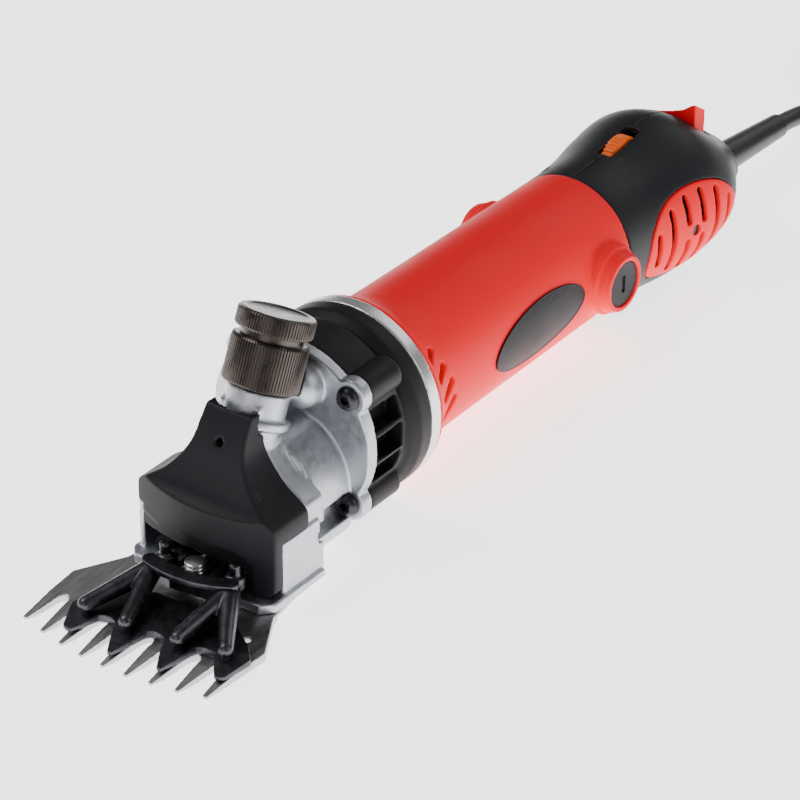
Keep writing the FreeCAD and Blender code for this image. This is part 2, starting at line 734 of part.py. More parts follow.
def head_cover():
    """The moulded front cover: bell outline, swept-back brow, a bowed face and one leg on the right."""
    front = size(-91.5)
    outer = common(prism_y(bell(0.2, -30.9), front, d.joint_face), bowed(d.cover_bow))
    slope = smooth_line([(-70.4, 27.0), (-72.8, 25.4), (-75.8, 20.6), (-79.4, 13.5), (-82.9, 5.6),
                         (-86.6, -1.2), (-91.5, -4.6)], 4)
    brow = [(-67.0, 27.0)] + slope + [(-91.5, -31.5), (-67.0, -31.5)]
    side = prism_x(brow, size(34.0))
    room = [(-66.0, 22.0), (-70.5, 19.0), (-75.8, 10.0), (-80.0, 1.0), (-83.4, -6.0), (-83.4, -40.0),
            (-66.0, -40.0)]
    hollow = common(prism_y(bell(-2.4, -45.0), front, d.joint_face + 1), prism_x(room, size(34.0)))
    mouth = prism_y([(-33.0, -13.0), (-26.3, -13.0), (-26.3, -21.4), (17.0, -21.4), (20.8, -24.5),
                     (20.8, -40.0), (-33.0, -40.0)], size(-96.0), size(-66.0))
    step = prism_y([(-31.0, -14.6), (-19.0, -17.6), (-7.0, -16.2), (5.0, -15.6), (14.0, -16.4),
                    (20.8, -19.5), (20.8, -26.0), (-31.0, -26.0)], size(-96.0), size(-80.0))
    skirt = block((26.2, -81.3, -40.0), (34.0, -60.0, -11.0))
    leg_corner = prism_y([(25.8, -31.5), (30.0, -31.5), (30.0, -27.4)], size(-96.0), size(-66.0))
    oil_hole = rod(1.5, -90.0, -70.0, 0.0, 0.0, 16.0)
    lip_room = knob_rod(13.5, -12.0, size(4.0))
    boss_room = knob_rod(11.2, -26.0, -11.0)
    return in_barrel(cut(common(outer, side), hollow, mouth, cut(step, bowed(d.cover_bow - 0.6)), skirt,
                         leg_corner, oil_hole, lip_room, boss_room), "head_cover")


def head_screws():
    """Four button-headed screws with hexagon sockets, holding the head to the gearbox."""
    screws = []
    for x, z in flange_screw_places():
        head = fuse(rod(4.4, d.flange_face - 2.2, d.flange_face, x, 0.0, z),
                    rod(3.4, d.flange_face - 3.0, d.flange_face - 2.0, x, 0.0, z))
        shank = rod(2.1, d.flange_face - 0.5, d.flange_face + 15.0, x, 0.0, z)
        socket = rod(1.5, d.flange_face - 4, d.flange_face - 1.2, x, 0.0, z)
        screws.append(cut(fuse(head, shank), socket))
    return in_barrel(group(*screws), "head_screws")


# ---------------------------------------------------------------- gearbox and crank

def gearbox_housing():
    """The black gearbox: a rounded rear flange, a neck with four screw posts and side pockets."""
    front = d.box_flange_front
    flange = turned([(-d.ring_thick, 0.0), (-d.ring_thick, d.ring_round + 0.1), (-11.5, d.ring_round + 0.1),
                     (-14.6, d.ring_round - 1.6), (front, d.ring_round - 4.6), (front - 0.8, 28.0),
                     (front - 0.8, 0.0)])
    neck = rod(d.box_round, d.flange_back, front, 0.0, 0.0, d.flange_up)
    posts = [rod(d.lug_round - 0.3, d.flange_back, front, x, 0.0, z) for x, z in flange_screw_places()]
    shape = fuse(flange, neck, *posts)
    pockets = []
    for side in (-1, 1):
        for low, high in ((-12.0, -3.8), (-2.2, 7.2), (8.8, 16.8)):
            pockets.append(block((side * 32.5 - 8.0, -35.0, low), (side * 32.5 + 8.0, -18.6, high)))
    gear_room = rod(12.6, -27.5, -5.0, 0.0, 0.0, -d.crank_drop)
    pinion_room = rod(15.0, -27.5, -5.0, 0.0, 0.0, 4.0)
    nose_room = rod(18.0, -12.0, -5.0, 0.0, 0.0, -6.0)
    bearing_bore = rod(9.5, d.flange_back - 1, -26.0, 0.0, 0.0, -d.crank_drop)
    screws = [rod(2.1, d.flange_back - 1, -22.0, x, 0.0, z) for x, z in flange_screw_places()]
    through = [rod(1.9, -20.0, -5.0, x, 0.0, z) for x, z in plate_screw_places()]
    return in_barrel(cut(shape, gear_room, pinion_room, nose_room, bearing_bore, *pockets, *screws,
                         *through), "gearbox_housing")


def plate_screw_places():
    reach = 27.6
    return [(reach * math.cos(math.radians(a)), reach * math.sin(math.radians(a)))
            for a in (45, 135, 225, 315)]


def bearing_plate():
    """The aluminium plate whose rim shows as the silver ring; it holds a bearing on each side."""
    disc = turned([(-d.ring_thick, 0.0), (-d.ring_thick, d.ring_round), (0.0, d.ring_round), (0.0, 24.8),
                   (3.6, 24.8), (3.6, 22.8), (0.0, 22.8), (0.0, 16.5), (5.2, 16.5), (5.2, 0.0)])
    nose = rod(10.5, -11.0, -d.ring_thick + 0.5, 0.0, 0.0, -d.crank_drop)
    shaft_hole = rod(6.0, -12.0, 6.0)
    motor_bore = rod(13.0, -2.8, 6.0)
    crank_bore = rod(8.0, -12.0, -5.6, 0.0, 0.0, -d.crank_drop)
    screws = [rod(1.9, -6.0, 1.0, x, 0.0, z) for x, z in plate_screw_places()]
    return in_barrel(cut(fuse(disc, nose), shaft_hole, motor_bore, crank_bore, *screws), "bearing_plate")


def gearbox_screws():
    """Four long screws from inside the barrel, through the plate, into the gearbox."""
    screws = [fuse(rod(1.85, -15.0, 0.5, x, 0.0, z), rod(2.6, 0.0, 1.8, x, 0.0, z))
              for x, z in plate_screw_places()]
    return in_barrel(group(*screws), "gearbox_screws")


def involute(angle):
    return math.tan(angle) - angle


def gear_wire(teeth, module, turn, tip, root, slack):
    """A spur gear's outline in the XZ plane: straight root, then the involute flank to the tip."""
    pitch_r = module * teeth / 2
    pressure = math.radians(20)
    base_r = pitch_r * math.cos(pressure)
    half = math.pi / (2 * teeth) - slack / (2 * pitch_r)
    steps = 4
    flank = []
    for k in range(steps + 1):
        r = max(base_r, pitch_r - root) + (pitch_r + tip - max(base_r, pitch_r - root)) * k / steps
        flank.append((r, half + involute(pressure) - involute(math.acos(min(1.0, base_r / r)))))
    if base_r > pitch_r - root:
        flank.insert(0, (pitch_r - root, flank[0][1]))
    points = []
    for i in range(teeth):
        centre = turn + 2 * math.pi * i / teeth
        sides = [(r, centre - a) for r, a in flank] + [(r, centre + a) for r, a in reversed(flank)]
        points += [V(r * math.cos(a), 0, r * math.sin(a)) for r, a in sides]
    return Part.makePolygon(points + points[:1])


def gear(teeth, turn, tip, root, bore, start, end):
    """A spur gear along Y, as a feature of its own, with its sizes read from the sheet."""
    wire = gear_wire(int(teeth.value), float(d.gear_module), turn, tip, root, 0.1)
    solid = Part.Face(wire).extrude(V(0, float(end) - float(start), 0))
    solid.translate(V(0, float(start), 0))
    hole = Part.makeCylinder(float(bore), 200, V(0, -100, 0), V(0, 1, 0))
    thing = DOC.addObject("Part::Feature", "gear")
    thing.Shape = solid.cut(hole)
    return thing


def pinion():
    module = float(d.gear_module)
    thing = gear(d.pinion_teeth, -math.pi / 2, module, 1.15 * module, 1.6, d.gear_front - 0.5,
                 d.gear_back + 0.5)
    return in_barrel(thing, "motor_pinion")


def crank_gear():
    module = float(d.gear_module)
    turn = math.pi / 2 + math.pi / d.gear_teeth.value
    thing = gear(d.gear_teeth, turn, 0.8 * module, 1.3 * module, 3.0, d.gear_front, d.gear_back)
    return in_crank(thing, "crank_gear")


def crankshaft():
    """A stepped shaft with a disc in front, and the off-centre pin that stops short of the roller."""
    shaft = fuse(rod(3.0, -36.0, -12.0), rod(2.5, -12.5, -6.0), rod(3.9, -26.4, d.gear_front))
    disc = rod(7.5, -39.4, -35.4)
    pin = rod(2.0, -41.8, -39.0, -d.crank_throw)
    weight = rod(3.0, -40.6, -39.0, 3.6)
    return in_crank(fuse(shaft, disc, pin, weight), "crankshaft")


def ring_pair(outer_a, inner_a, start_a, end_a, outer_b, inner_b, start_b, end_b):
    return group(tube(outer_a, inner_a, start_a, end_a), tube(outer_b, inner_b, start_b, end_b))


def crank_bearings():
    outer = ring_pair(9.5, 7.2, -33.0, -27.5, 8.0, 6.1, -10.9, -6.2)
    inner = ring_pair(5.6, 3.0, -33.0, -27.0, 4.9, 2.5, -10.9, -6.2)
    in_crank(outer, "crank_bearing_outers")
    in_crank(inner, "crank_bearing_inners")


# ---------------------------------------------------------------- barrel and motor

def barrel_housing():
    """The red barrel: flared front rim, gentle taper, two brush bosses and slanted air slots."""
    wall = d.barrel_wall
    r, e = d.barrel_round, d.barrel_end_round
    shell = turned([(0.1, 25.0), (0.1, d.ring_round - 0.5), (1.8, d.ring_round - 0.6), (4.5, r + 4.0),
                    (8.0, r + 2.0), (12.5, r + 0.8), (19.0, r + 0.2), (30.0, r), (d.barrel_long, e),
                    (d.barrel_long, e - wall), (124.0, e - wall), (30.0, r - wall), (4.0, 25.0)])
    bosses = []
    for side in (-1, 1):
        bosses.append(rod(13.2, min(side * 22, side * 29), max(side * 22, side * 29), 0, d.brush_line, 0,
                          along="X"))
        bosses.append(rod(11.6, min(side * 22, side * 31.6), max(side * 22, side * 31.6), 0, d.brush_line,
                          0, along="X"))
        bosses.append(rod(d.boss_round, min(side * 22, side * 33.6), max(side * 22, side * 33.6), 0,
                          d.brush_line, 0, along="X"))
    bore = turned([(3.0, 0.0), (3.0, 25.0), (30.0, r - wall), (124.0, e - wall),
                   (d.barrel_long + 1, e - wall), (d.barrel_long + 1, 0.0)])
    bridge = tube(25.6, 15.0, 121.5, 124.2)
    bridge_gaps = [block((-30.0, 121.0, side * 17.5 - 9.5), (30.0, 125.0, side * 17.5 + 9.5))
                   for side in (-1, 1)]
    rear_seat = tube(15.2, 11.05, 121.5, 128.6)
    caps = [rod(d.brush_cap_round + 0.1, min(side * 24, side * 40), max(side * 24, side * 40), 0,
                d.brush_line, 0, along="X") for side in (-1, 1)]
    slots = [air_slot(i, side) for i in range(4) for side in (-1, 1)]
    pockets = [rod(2.9, -1.0, 2.4, x, 0.0, z) for x, z in plate_screw_places()]
    shape = cut(fuse(cut(fuse(shell, *bosses), bore), rear_seat, cut(bridge, *bridge_gaps)),
                rod(10.9, 120.0, 130.0), *caps, *slots, *pockets)
    return in_barrel(shape, "barrel_housing")


def air_slot(i, side):
    """One of the four slots behind the front rim, each lower one longer and steeper than the last."""
    line, up, long, rise = ((7.6, 36.0, 7.0, 33.0), (10.6, 21.0, 8.6, 34.0), (13.2, 6.0, 9.8, 39.0),
                            (14.4, -10.0, 10.8, 45.0))[i]
    straight = long / 2 - 1.3
    slot = group(block((24.0, -straight, -1.3), (40.0, straight, 1.3)),
                 rod(1.3, 24.0, 40.0, 0.0, -straight, 0.0, along="X"),
                 rod(1.3, 24.0, 40.0, 0.0, straight, 0.0, along="X"))
    turn = FreeCAD.Rotation(V(0, 1, 0), -up).multiply(FreeCAD.Rotation(X_AXIS, rise))
    slot.Placement = FreeCAD.Placement(V(0, line, 0), turn)
    return slot if side > 0 else mirrored(slot)


def stator_core():
    """The laminated stator: a round back with two inward poles."""
    ring = tube(25.0, 22.6, d.stator_front, d.stator_back)
    poles = [block((-8.5, d.stator_front, min(side * 14, side * 23)),
                   (8.5, d.stator_back, max(side * 14, side * 23))) for side in (-1, 1)]
    shoes = tube(18.0, 15.0, d.stator_front, d.stator_back)
    shoe_gaps = [block((min(side * 9, side * 20), 40.0, -9.0), (max(side * 9, side * 20), 90.0, 9.0))
                 for side in (-1, 1)]
    shape = cut(fuse(ring, *poles, cut(shoes, *shoe_gaps)), rod(15.0, 40.0, 90.0))
    return in_barrel(shape, "stator_core")


def field_windings():
    """One coil around each pole, standing out past both ends of the core."""
    coils = []
    for side in (-1, 1):
        low, high = sorted((side * 18.1, side * 19.6))
        block_out = block((-11.0, d.stator_front - 5.5, low), (11.0, d.stator_back + 5.5, high))
        block_in = block((-8.7, d.stator_front - 1.0, low - 1), (8.7, d.stator_back + 1.0, high + 1))
        coils.append(cut(block_out, block_in))
    return in_barrel(group(*coils), "field_windings")


def motor_shaft():
    shaft = fuse(rod(1.6, d.gear_front - 1.0, -11.5), rod(d.shaft_round, -2.4, 112.0),
                 rod(2.2, -12.0, -2.0), rod(3.0, 111.0, 128.3))
    return in_barrel(shaft, "motor_shaft")


def armature():
    """Core with slots, end windings, commutator and fan, all pressed on the motor shaft."""
    core = rod(d.armature_round, d.stator_front + 1.0, d.stator_back - 1.0)
    slots = []
    count = 12
    for i in range(count):
        a = 2 * math.pi * i / count
        slots.append(rod(1.5, 40.0, 90.0, 12.6 * math.cos(a), 0.0, 12.6 * math.sin(a)))
    in_barrel(cut(core, rod(d.shaft_round, 40.0, 90.0), *slots), "armature_core")
    front = turned([(35.5, d.shaft_round), (35.5, 8.0), (38.0, 12.2), (44.9, 13.2), (44.9, d.shaft_round)])
    rear = turned([(83.1, d.shaft_round), (83.1, 13.2), (90.0, 12.2), (94.5, 8.5), (94.5, d.shaft_round)])
    in_barrel(group(front, rear), "armature_winding")
    bars = tube(9.6, d.shaft_round, 97.0, 112.5)
    riser = tube(10.8, d.shaft_round, 95.2, 97.5)
    cuts = []
    bar_count = 24
    for i in range(bar_count):
        groove = block((9.0, 97.6, -0.2), (11.0, 113.0, 0.2))
        groove.Placement = FreeCAD.Placement(V(), FreeCAD.Rotation(V(0, 1, 0), 360.0 * i / bar_count)
                                             ).multiply(groove.Placement)
        cuts.append(groove)
    in_barrel(cut(fuse(bars, riser), *cuts), "commutator")


def fan():
    """A radial fan behind the front plate: a hub, a back disc and straight blades."""
    hub = tube(7.5, d.shaft_round, 8.0, 24.0)
    disc = tube(22.0, d.shaft_round, 22.0, 24.0)
    blades = []
    count = 10
    for i in range(count):
        blade = block((6.5, 10.0, -0.7), (21.5, 22.5, 0.7))
        blade.Placement = FreeCAD.Placement(V(), FreeCAD.Rotation(V(0, 1, 0), 360.0 * i / count)
                                            ).multiply(blade.Placement)
        blades.append(blade)
    return in_barrel(fuse(hub, disc, *blades), "cooling_fan")


def fan_baffle():
    """The ring that guides the air from the motor into the fan."""
    return in_barrel(turned([(26.0, 13.5), (26.0, 25.0), (28.0, 25.0), (28.0, 13.5)]), "fan_baffle")


def motor_bearings():
    outer = ring_pair(13.0, 9.6, -2.7, 5.0, 11.0, 8.4, 121.6, 128.3)
    inner = ring_pair(6.8, d.shaft_round, -2.3, 5.0, 5.4, 3.0, 121.6, 128.3)
    in_barrel(outer, "motor_bearing_outers")
    in_barrel(inner, "motor_bearing_inners")


def brushes():
    """On each side: a brass holder, a carbon block, its spring and the slotted cap."""
    holders, blocks, springs, caps = [], [], [], []
    for side in (-1, 1):
        def along(radius, a, b):
            return rod(radius, min(side * a, side * b), max(side * a, side * b), 0, d.brush_line, 0,
                       along="X")
        sleeve = cut(along(5.4, 12.0, 29.0), along(4.3, 11.0, 30.0))
        collar = cut(along(8.6, 26.0, 27.6), along(4.3, 11.0, 30.0))
        holders.append(fuse(sleeve, collar))
        blocks.append(along(3.8, 9.9, 18.0))
        for k in range(5):
            springs.append(cut(along(3.4, 18.6 + 1.8 * k, 19.4 + 1.8 * k),
                               along(2.4, 18.0 + 1.8 * k, 20.0 + 1.8 * k)))
        low, high = sorted((side * (float(d.brush_face) - 1.0), side * 40.0))
        head = cut(along(d.brush_cap_round, 29.3, d.brush_face.value),
                   block((low, d.brush_line - 0.9, -3.3), (high, d.brush_line + 0.9, 3.3)))
        caps.append(fuse(head, along(3.6, 27.9, 29.5)))
    in_barrel(group(*holders), "brush_holders")
    in_barrel(group(*blocks), "carbon_brushes")
    in_barrel(group(*springs), "brush_springs")
    in_barrel(group(*caps), "brush_caps")


def nameplates():
    """A plain oval plate glued to each side of the barrel."""
    plates = []
    for side in (-1, 1):
        oval = DOC.addObject("Part::Ellipse", "oval")
        oval.MajorRadius, oval.MinorRadius = 27.5, 10.0
        oval.Placement = FreeCAD.Placement(V(side * 24.0, 70.0, 0.8),
                                           FreeCAD.Rotation(V(0, 1, 0), 90).multiply(
                                               FreeCAD.Rotation(Z_AXIS, 90 + 4)))
        solid = DOC.addObject("Part::Extrusion", "oval_prism")
        solid.Base = oval
        solid.DirMode = "Custom"
        solid.Dir = V(side, 0, 0)
        solid.LengthFwd = 8.0
        solid.Solid = True
        skin = cut(cone(d.barrel_round + 0.6, d.barrel_end_round + 0.6, 30.0, d.barrel_long),
                   cone(d.barrel_round, d.barrel_end_round, 30.0, d.barrel_long))
        plates.append(common(solid, skin))
    return in_barrel(group(*plates), "nameplates")


# ---------------------------------------------------------------- rear shell and its fittings

# Stations of the rear bulb: distance along the barrel, half width, top and bottom.
BULB = [(129.3, 27.2, 26.9, -27.2), (148.0, 28.2, 27.9, -28.2), (167.0, 30.9, 30.4, -29.6),
        (184.0, 32.2, 30.8, -27.2), (199.0, 28.2, 23.4, -22.6), (211.0, 20.6, 15.0, -17.2)]
BULB_TIP = (16.6, 9.0, -14.4)


def bulb(inset, end, side):
    """The rear bulb as a loft through ellipses, drawn in by inset; its seam is kept off that side."""
    sections = []
    for y, half, top, bottom in BULB + [(end, *BULB_TIP)]:
        oval = DOC.addObject("Part::Ellipse", "section")
        high = (top - bottom) / 2 - inset
        wide = half - inset
        oval.MajorRadius = wide
        oval.MinorRadius = high
        spin = FreeCAD.Rotation(Z_AXIS, 180 if side > 0 else 0)
        start = y + (0.8 if inset > 0 and y == BULB[0][0] else 0.0)
        oval.Placement = FreeCAD.Placement(V(0, float(start), (top + bottom) / 2),
                                           FreeCAD.Rotation(X_AXIS, -90).multiply(spin))
        sections.append(oval)
    loft = DOC.addObject("Part::Loft", "bulb")
    loft.Sections = sections
    loft.Solid = True
    loft.Ruled = False
    return loft


def grille_leaf(grow):
    """The leaf-shaped outline of the side grille, as (y, z) corners; grow moves it outwards."""
    middle_y, middle_z = 167.0, -1.0
    leaf = [(140.3, -6.0), (141.8, 3.3), (146.0, 9.2), (152.8, 13.8), (161.0, 16.2), (169.2, 16.8),
            (177.0, 15.8), (184.4, 12.9), (191.0, 7.8), (195.8, 1.2), (196.6, -6.4), (192.0, -13.6),
            (182.0, -18.2), (166.0, -19.2), (149.0, -15.8), (142.4, -12.0)]
    points = []
    for y, z in smooth_loop(leaf, 4):
        u, v = y - middle_y, z - middle_z
        reach = math.hypot(u, v)
        points.append((middle_y + u * (1 + grow / reach), middle_z + v * (1 + grow / reach)))
    return points


def prism_side(points, side, start, end):
    """A prism along X on one side of the tool, from corners given as (y, z)."""
    return slanted_prism([(side * start, y, z) for y, z in points], (side * (end - start), 0.0, 0.0))


GRILLE_SCREW = (167.3, -1.0)
SHELL_SCREWS = [(136.5, -19.0), (137.0, 19.5), (197.5, -18.0)]


def guard_rod(radius, start, end):
    """A cylinder along the strain relief, in the barrel frame."""
    turn = FreeCAD.Rotation(V(-1, 0, 0), float(d.guard_lean))
    base = V(0, float(d.guard_start), float(d.guard_drop)) + turn.multVec(V(0, start, 0))
    thing = rod(radius, start, end)
    thing.Placement = FreeCAD.Placement(base, turn.multiply(TURNS["Y"]))
    return thing


def rear_shells():
    """Two moulded halves, joined on the tool's middle plane by three long screws."""
    for side, label in ((-1, "rear_shell_left"), (1, "rear_shell_right")):
        skin = cut(bulb(0.0, d.tail_end, side), bulb(2.6, d.tail_end - 2.6, side))
        low, high = sorted((0.0, side * 40.0))
        half = common(skin, block((low, 120.0, -40.0), (high, 230.0, 40.0)))
        posts = [common(rod(3.4, low, high, 0, y, z, along="X"), bulb(1.0, d.tail_end - 1.0, side))
                 for y, z in SHELL_SCREWS]
        spigot = tube(d.barrel_end_round - d.barrel_wall, d.barrel_end_round - 4.6, 124.5, 132.0)
        spigot_half = common(spigot, block((low, 120.0, -40.0), (high, 140.0, 40.0)))
        window = prism_side(grille_leaf(-0.6), side, 14.0, 40.0)
        slot = block((-3.1, d.dial_line - 9.9, 22.0), (3.1, d.dial_line + 9.9, 40.0))
        switch_slot = block((-11.2, d.switch_line - 0.6, 11.0), (12.7, d.switch_line + 8.0, 40.0))
        bores = [rod(1.55, -15.0, 15.0, 0, y, z, along="X") for y, z in SHELL_SCREWS]
        tools = [window, slot, switch_slot, guard_rod(6.75, -14.0, 16.0), guard_rod(7.8, -6.8, -2.4), *bores]
        if side < 0:
            tools += [rod(3.1, -40.0, -14.0, 0, y, z, along="X") for y, z in SHELL_SCREWS]
        in_barrel(cut(fuse(half, spigot_half, *posts), *tools), label)


def slot_columns():
    """The grille's slots as (y, low z, high z); the middle columns leave room for the screw."""
    first, pitch = 147.2, 8.15
    spans = [[(-9.2, 4.6)], [(-14.4, 11.2)], [(-16.8, -3.4), (2.2, 14.0)], [(-17.0, -3.4), (0.8, 14.4)],
             [(-16.2, 12.4)], [(-12.2, 6.0)]]
    columns = []
    for i, column in enumerate(spans):
        columns += [(first + pitch * i, low, high) for low, high in column]
    return columns


def vent_grilles():
    for side, label in ((-1, "vent_grille_left"), (1, "vent_grille_right")):
        leaf = prism_side(grille_leaf(-0.75), side, 14.0, 40.0)
        skin = cut(bulb(-0.35, d.tail_end + 0.4, side), bulb(1.9, d.tail_end - 1.9, side))
        slots = []
        for y, low, high in slot_columns():
            ends = sorted((side * 12.0, side * 40.0))
            slots.append(block((ends[0], y - 1.5, low + 1.5), (ends[1], y + 1.5, high - 1.5)))
            slots += [rod(1.5, *ends, 0, y, z, along="X") for z in (low + 1.5, high - 1.5)]
        ends = sorted((side * 12.0, side * 40.0))
        hole = rod(1.3, *ends, 0, *GRILLE_SCREW, along="X")
        seat_ends = sorted((side * 29.2, side * 40.0))
        head_room = rod(2.2, *seat_ends, 0, *GRILLE_SCREW, along="X")
        in_barrel(cut(common(skin, leaf), hole, head_room, *slots), label)


def dust_screens():
    """A fine mesh screen behind each grille."""
    screens = []
    for side in (-1, 1):
        low, high = sorted((side * 20.6, side * 21.2))
        screens.append(block((low, 141.0, -12.0), (high, 193.0, 13.0)))
    return in_barrel(group(*screens), "dust_screens")


def grille_screws():
    screws = []
    for side in (-1, 1):
        head = rod(2.1, *sorted((side * 29.3, side * 30.4)), 0, *GRILLE_SCREW, along="X")
        shank = rod(1.25, *sorted((side * 22.0, side * 29.5)), 0, *GRILLE_SCREW, along="X")
        screws.append(fuse(head, shank))
    return in_barrel(group(*screws), "grille_screws")


def tail_screws():
    screws = []
    for y, z in SHELL_SCREWS:
        screws.append(fuse(rod(3.0, -16.0, -14.0, 0, y, z, along="X"),
                           rod(1.5, -14.5, 13.0, 0, y, z, along="X")))
    return in_barrel(group(*screws), "tail_screws")


def speed_dial():
    """The orange thumbwheel of the speed control, turning across the tool."""
    wheel = rod(d.dial_round, -d.dial_half, d.dial_half, 0, 0, 0, along="X")
    axle = rod(1.8, -6.5, 6.5, 0, 0, 0, along="X")
    return in_barrel(fuse(wheel, axle), "speed_dial", 0.0, d.dial_line, d.dial_top - d.dial_round)


def speed_module():
    """The speed control's board and body, with two ears that hold the dial's axle."""
    board = block((-13.0, 146.0, 1.0), (13.0, 176.0, 3.0))
    level = d.dial_top - d.dial_round
    ears = [block((min(side * 4.0, side * 6.0), 155.0, 2.5), (max(side * 4.0, side * 6.0), 165.0, 23.0))
            for side in (-1, 1)]
    part = block((-10.0, 149.0, -7.0), (10.0, 171.0, 1.5))
    hole = rod(1.88, -8.0, 8.0, 0, d.dial_line, level, along="X")
    return in_barrel(cut(fuse(board, part, *ears), hole), "speed_module")


def switch_button():
    """The red rocker of the switch, across the tool: its right end stands up, its top is hollowed."""
    half, line = d.switch_half, d.switch_line
    top = [(half, 32.9), (half - 1.6, 32.2), (5.0, 29.3), (0.0, 27.4), (-5.0, 25.9), (-half, 24.8)]
    corners = [(x, line, z) for x, z in [(-half, 17.2), (half, 17.2)] + top]
    rocker = slanted_prism(corners, (0.0, 7.4, -5.0))
    web = block((-3.5, line + 1.0, d.rock_up - 2.0), (3.5, line + 6.4, 17.5))
    hub = rod(3.0, line + 1.0, line + 6.4, 0.0, 0.0, d.rock_up)
    axle = rod(1.5, line - 2.8, line + 9.6, 0.0, 0.0, d.rock_up)
    return in_barrel(fuse(rocker, web, hub, axle), "switch_button")


def switch_body():
    """The switch's case, below the rocker, with two ears that hold its axle."""
    case = block((-7.0, 184.0, -4.0), (7.0, 206.0, 6.8))
    ears = [block((-3.0, d.switch_line + line, 6.0), (3.0, d.switch_line + line + 1.8, 15.6))
            for line in (-2.6, 7.7)]
    hole = rod(1.58, d.switch_line - 4.0, d.switch_line + 10.4, 0.0, 0.0, d.rock_up)
    return in_barrel(cut(fuse(case, *ears), hole), "switch_body")


def cord_clamp():
    """The bar across the cord inside the shell, and its two screws."""
    bar = block((-9.5, 202.0, -15.2), (9.5, 206.0, -12.1))
    screws = [rod(1.4, -16.6, -10.4, side * 7.2, 204.0, 0.0, along="Z") for side in (-1, 1)]
    return in_barrel(fuse(bar, *screws), "cord_clamp")


# ---------------------------------------------------------------- cord, coil and plug

def cord_guard():
    """The tapered rubber strain relief, with its collar inside the shell."""
    collar = rod(7.6, -6.6, -2.6)
    root = rod(d.guard_big, -3.0, 4.5)
    taper = cone(d.guard_big, d.guard_small, 4.5, d.guard_long)
    return in_barrel(cut(fuse(collar, root, taper), rod(d.cord_round, -8.0, d.guard_long + 1)), "cord_guard",
                     0.0, d.guard_start, d.guard_drop, d.guard_lean)


COIL_X, COIL_Y = 25.0, 342.0
COIL_TURNS_ACROSS = 5


def cord_route():
    """The free stretch from the strain relief down to the coil, on the surface the tool lies on."""
    return [(0.0, 236.9, 14.25), (0.4, 250.0, 12.9), (0.2, 264.0, 8.6), (-4.5, 279.0, 4.6),
            (-14.0, 295.0, 3.9), (-26.5, 311.5, 3.9)]


def tail_route():
    """The last stretch, from the coil's top layer back beside the tool to the plug's neck."""
    return [(85.0, 342.0, 11.4), (84.0, 328.0, 11.5), (80.0, 314.0, 12.0), (74.0, 301.0, 12.6),
            (70.5, 288.0, 12.9), (70.0, 277.0, 12.9)]


def rounded_path(points):
    """Straight runs joined by tangent arcs, as large as their two runs allow."""
    points = [V(*p) for p in points]
    edges = []
    at = points[0]
    for before, corner, after in zip(points, points[1:], points[2:]):
        into, out = corner - before, after - corner
        turn = into.getAngle(out)
        shorter = min(into.Length, out.Length)
        radius = 0.45 * shorter / math.tan(turn / 2)
        print("cord bend: turn %.1f degrees, radius %.0f mm" % (math.degrees(turn), radius))
        reach = 0.45 * shorter
        into.normalize()
        out.normalize()
        start, end = corner - into * reach, corner + out * reach
        inward = (out - into).normalize()
        middle = corner + inward * (radius / math.cos(turn / 2) - radius)
        edges.append(Part.LineSegment(at, start).toShape())
        edges.append(Part.Arc(start, middle, end).toShape())
        at = end
    edges.append(Part.LineSegment(at, points[-1]).toShape())
    return Part.Wire(edges)


def cord_solid(points):
    path = rounded_path(points)
    first = V(*points[1]) - V(*points[0])
    radius = float(d.cord_round)
    ring = Part.Wire([Part.Circle(V(*points[0]), first, radius).toShape()])
    solid = path.makePipeShell([ring], True, False, 2)
    expected = math.pi * radius * radius * path.Length
    print("cord length %.1f mm, volume %.0f against %.0f" % (path.Length, solid.Volume, expected))
    return solid


def power_cord():
    thing = DOC.addObject("Part::Feature", "cord")
    thing.Shape = Part.makeCompound([cord_solid(cord_route()), cord_solid(tail_route())])
    return on_floor(thing, "power_cord")


def on_floor(thing, label):
    """A piece of the cord, drawn straight in the frame of the surface the tool lies on."""
    thing.Placement = FreeCAD.Placement()
    return finish(thing, label)


def cord_coil():
    """The put-away length: five turns across and two layers high."""
    across = 2 * d.cord_round
    middle = 6 * across
    reach = across * COIL_TURNS_ACROSS / 2 + 0.1
    ring = tube(middle + reach, middle - reach, size(0.0), 2 * across + 0.2, COIL_X, COIL_Y, along="Z")
    return on_floor(cut(ring, tie_strap()), "cord_coil")


def tie_strap():
    """The strap's own shape: a flat band around the turns, on the side away from the tool."""
    across = 2 * d.cord_round
    low, high = COIL_Y + 3.5 * across - 1.4, COIL_Y + 8.5 * across + 1.4
    outer = block((COIL_X - 8.0, low, size(0.0)), (COIL_X + 8.0, high, 2 * across + 1.6))
    inner = block((COIL_X - 9.0, low + 1.2, size(0.8)), (COIL_X + 9.0, high - 1.2, 2 * across + 0.4))
    return cut(outer, inner)


def cord_tie():
    return on_floor(group(tie_strap()), "cord_tie")


PLUG_AT = (70.0, 277.0, 12.9)


def plug():
    """A round-shouldered two-pin plug lying on the surface beside the coil."""
    x, y, z = PLUG_AT
    neck = cone(7.5, 4.6, y - 20.0, y, x, 0.0, z)
    body = common(rod(17.6, y - 52.0, y - 19.0, x, 0.0, z),
                  block((x - 17.6, y - 53.0, z - 12.8), (x + 17.6, y - 18.0, z + 12.8)))
    return on_floor(fuse(neck, body), "plug")


def plug_pins():
    x, y, z = PLUG_AT
    pins = [rod(2.4, y - 71.0, y - 52.0, x + side * 9.5, 0.0, z) for side in (-1, 1)]
    return on_floor(group(*pins), "plug_pins")


# ---------------------------------------------------------------- build, check and write

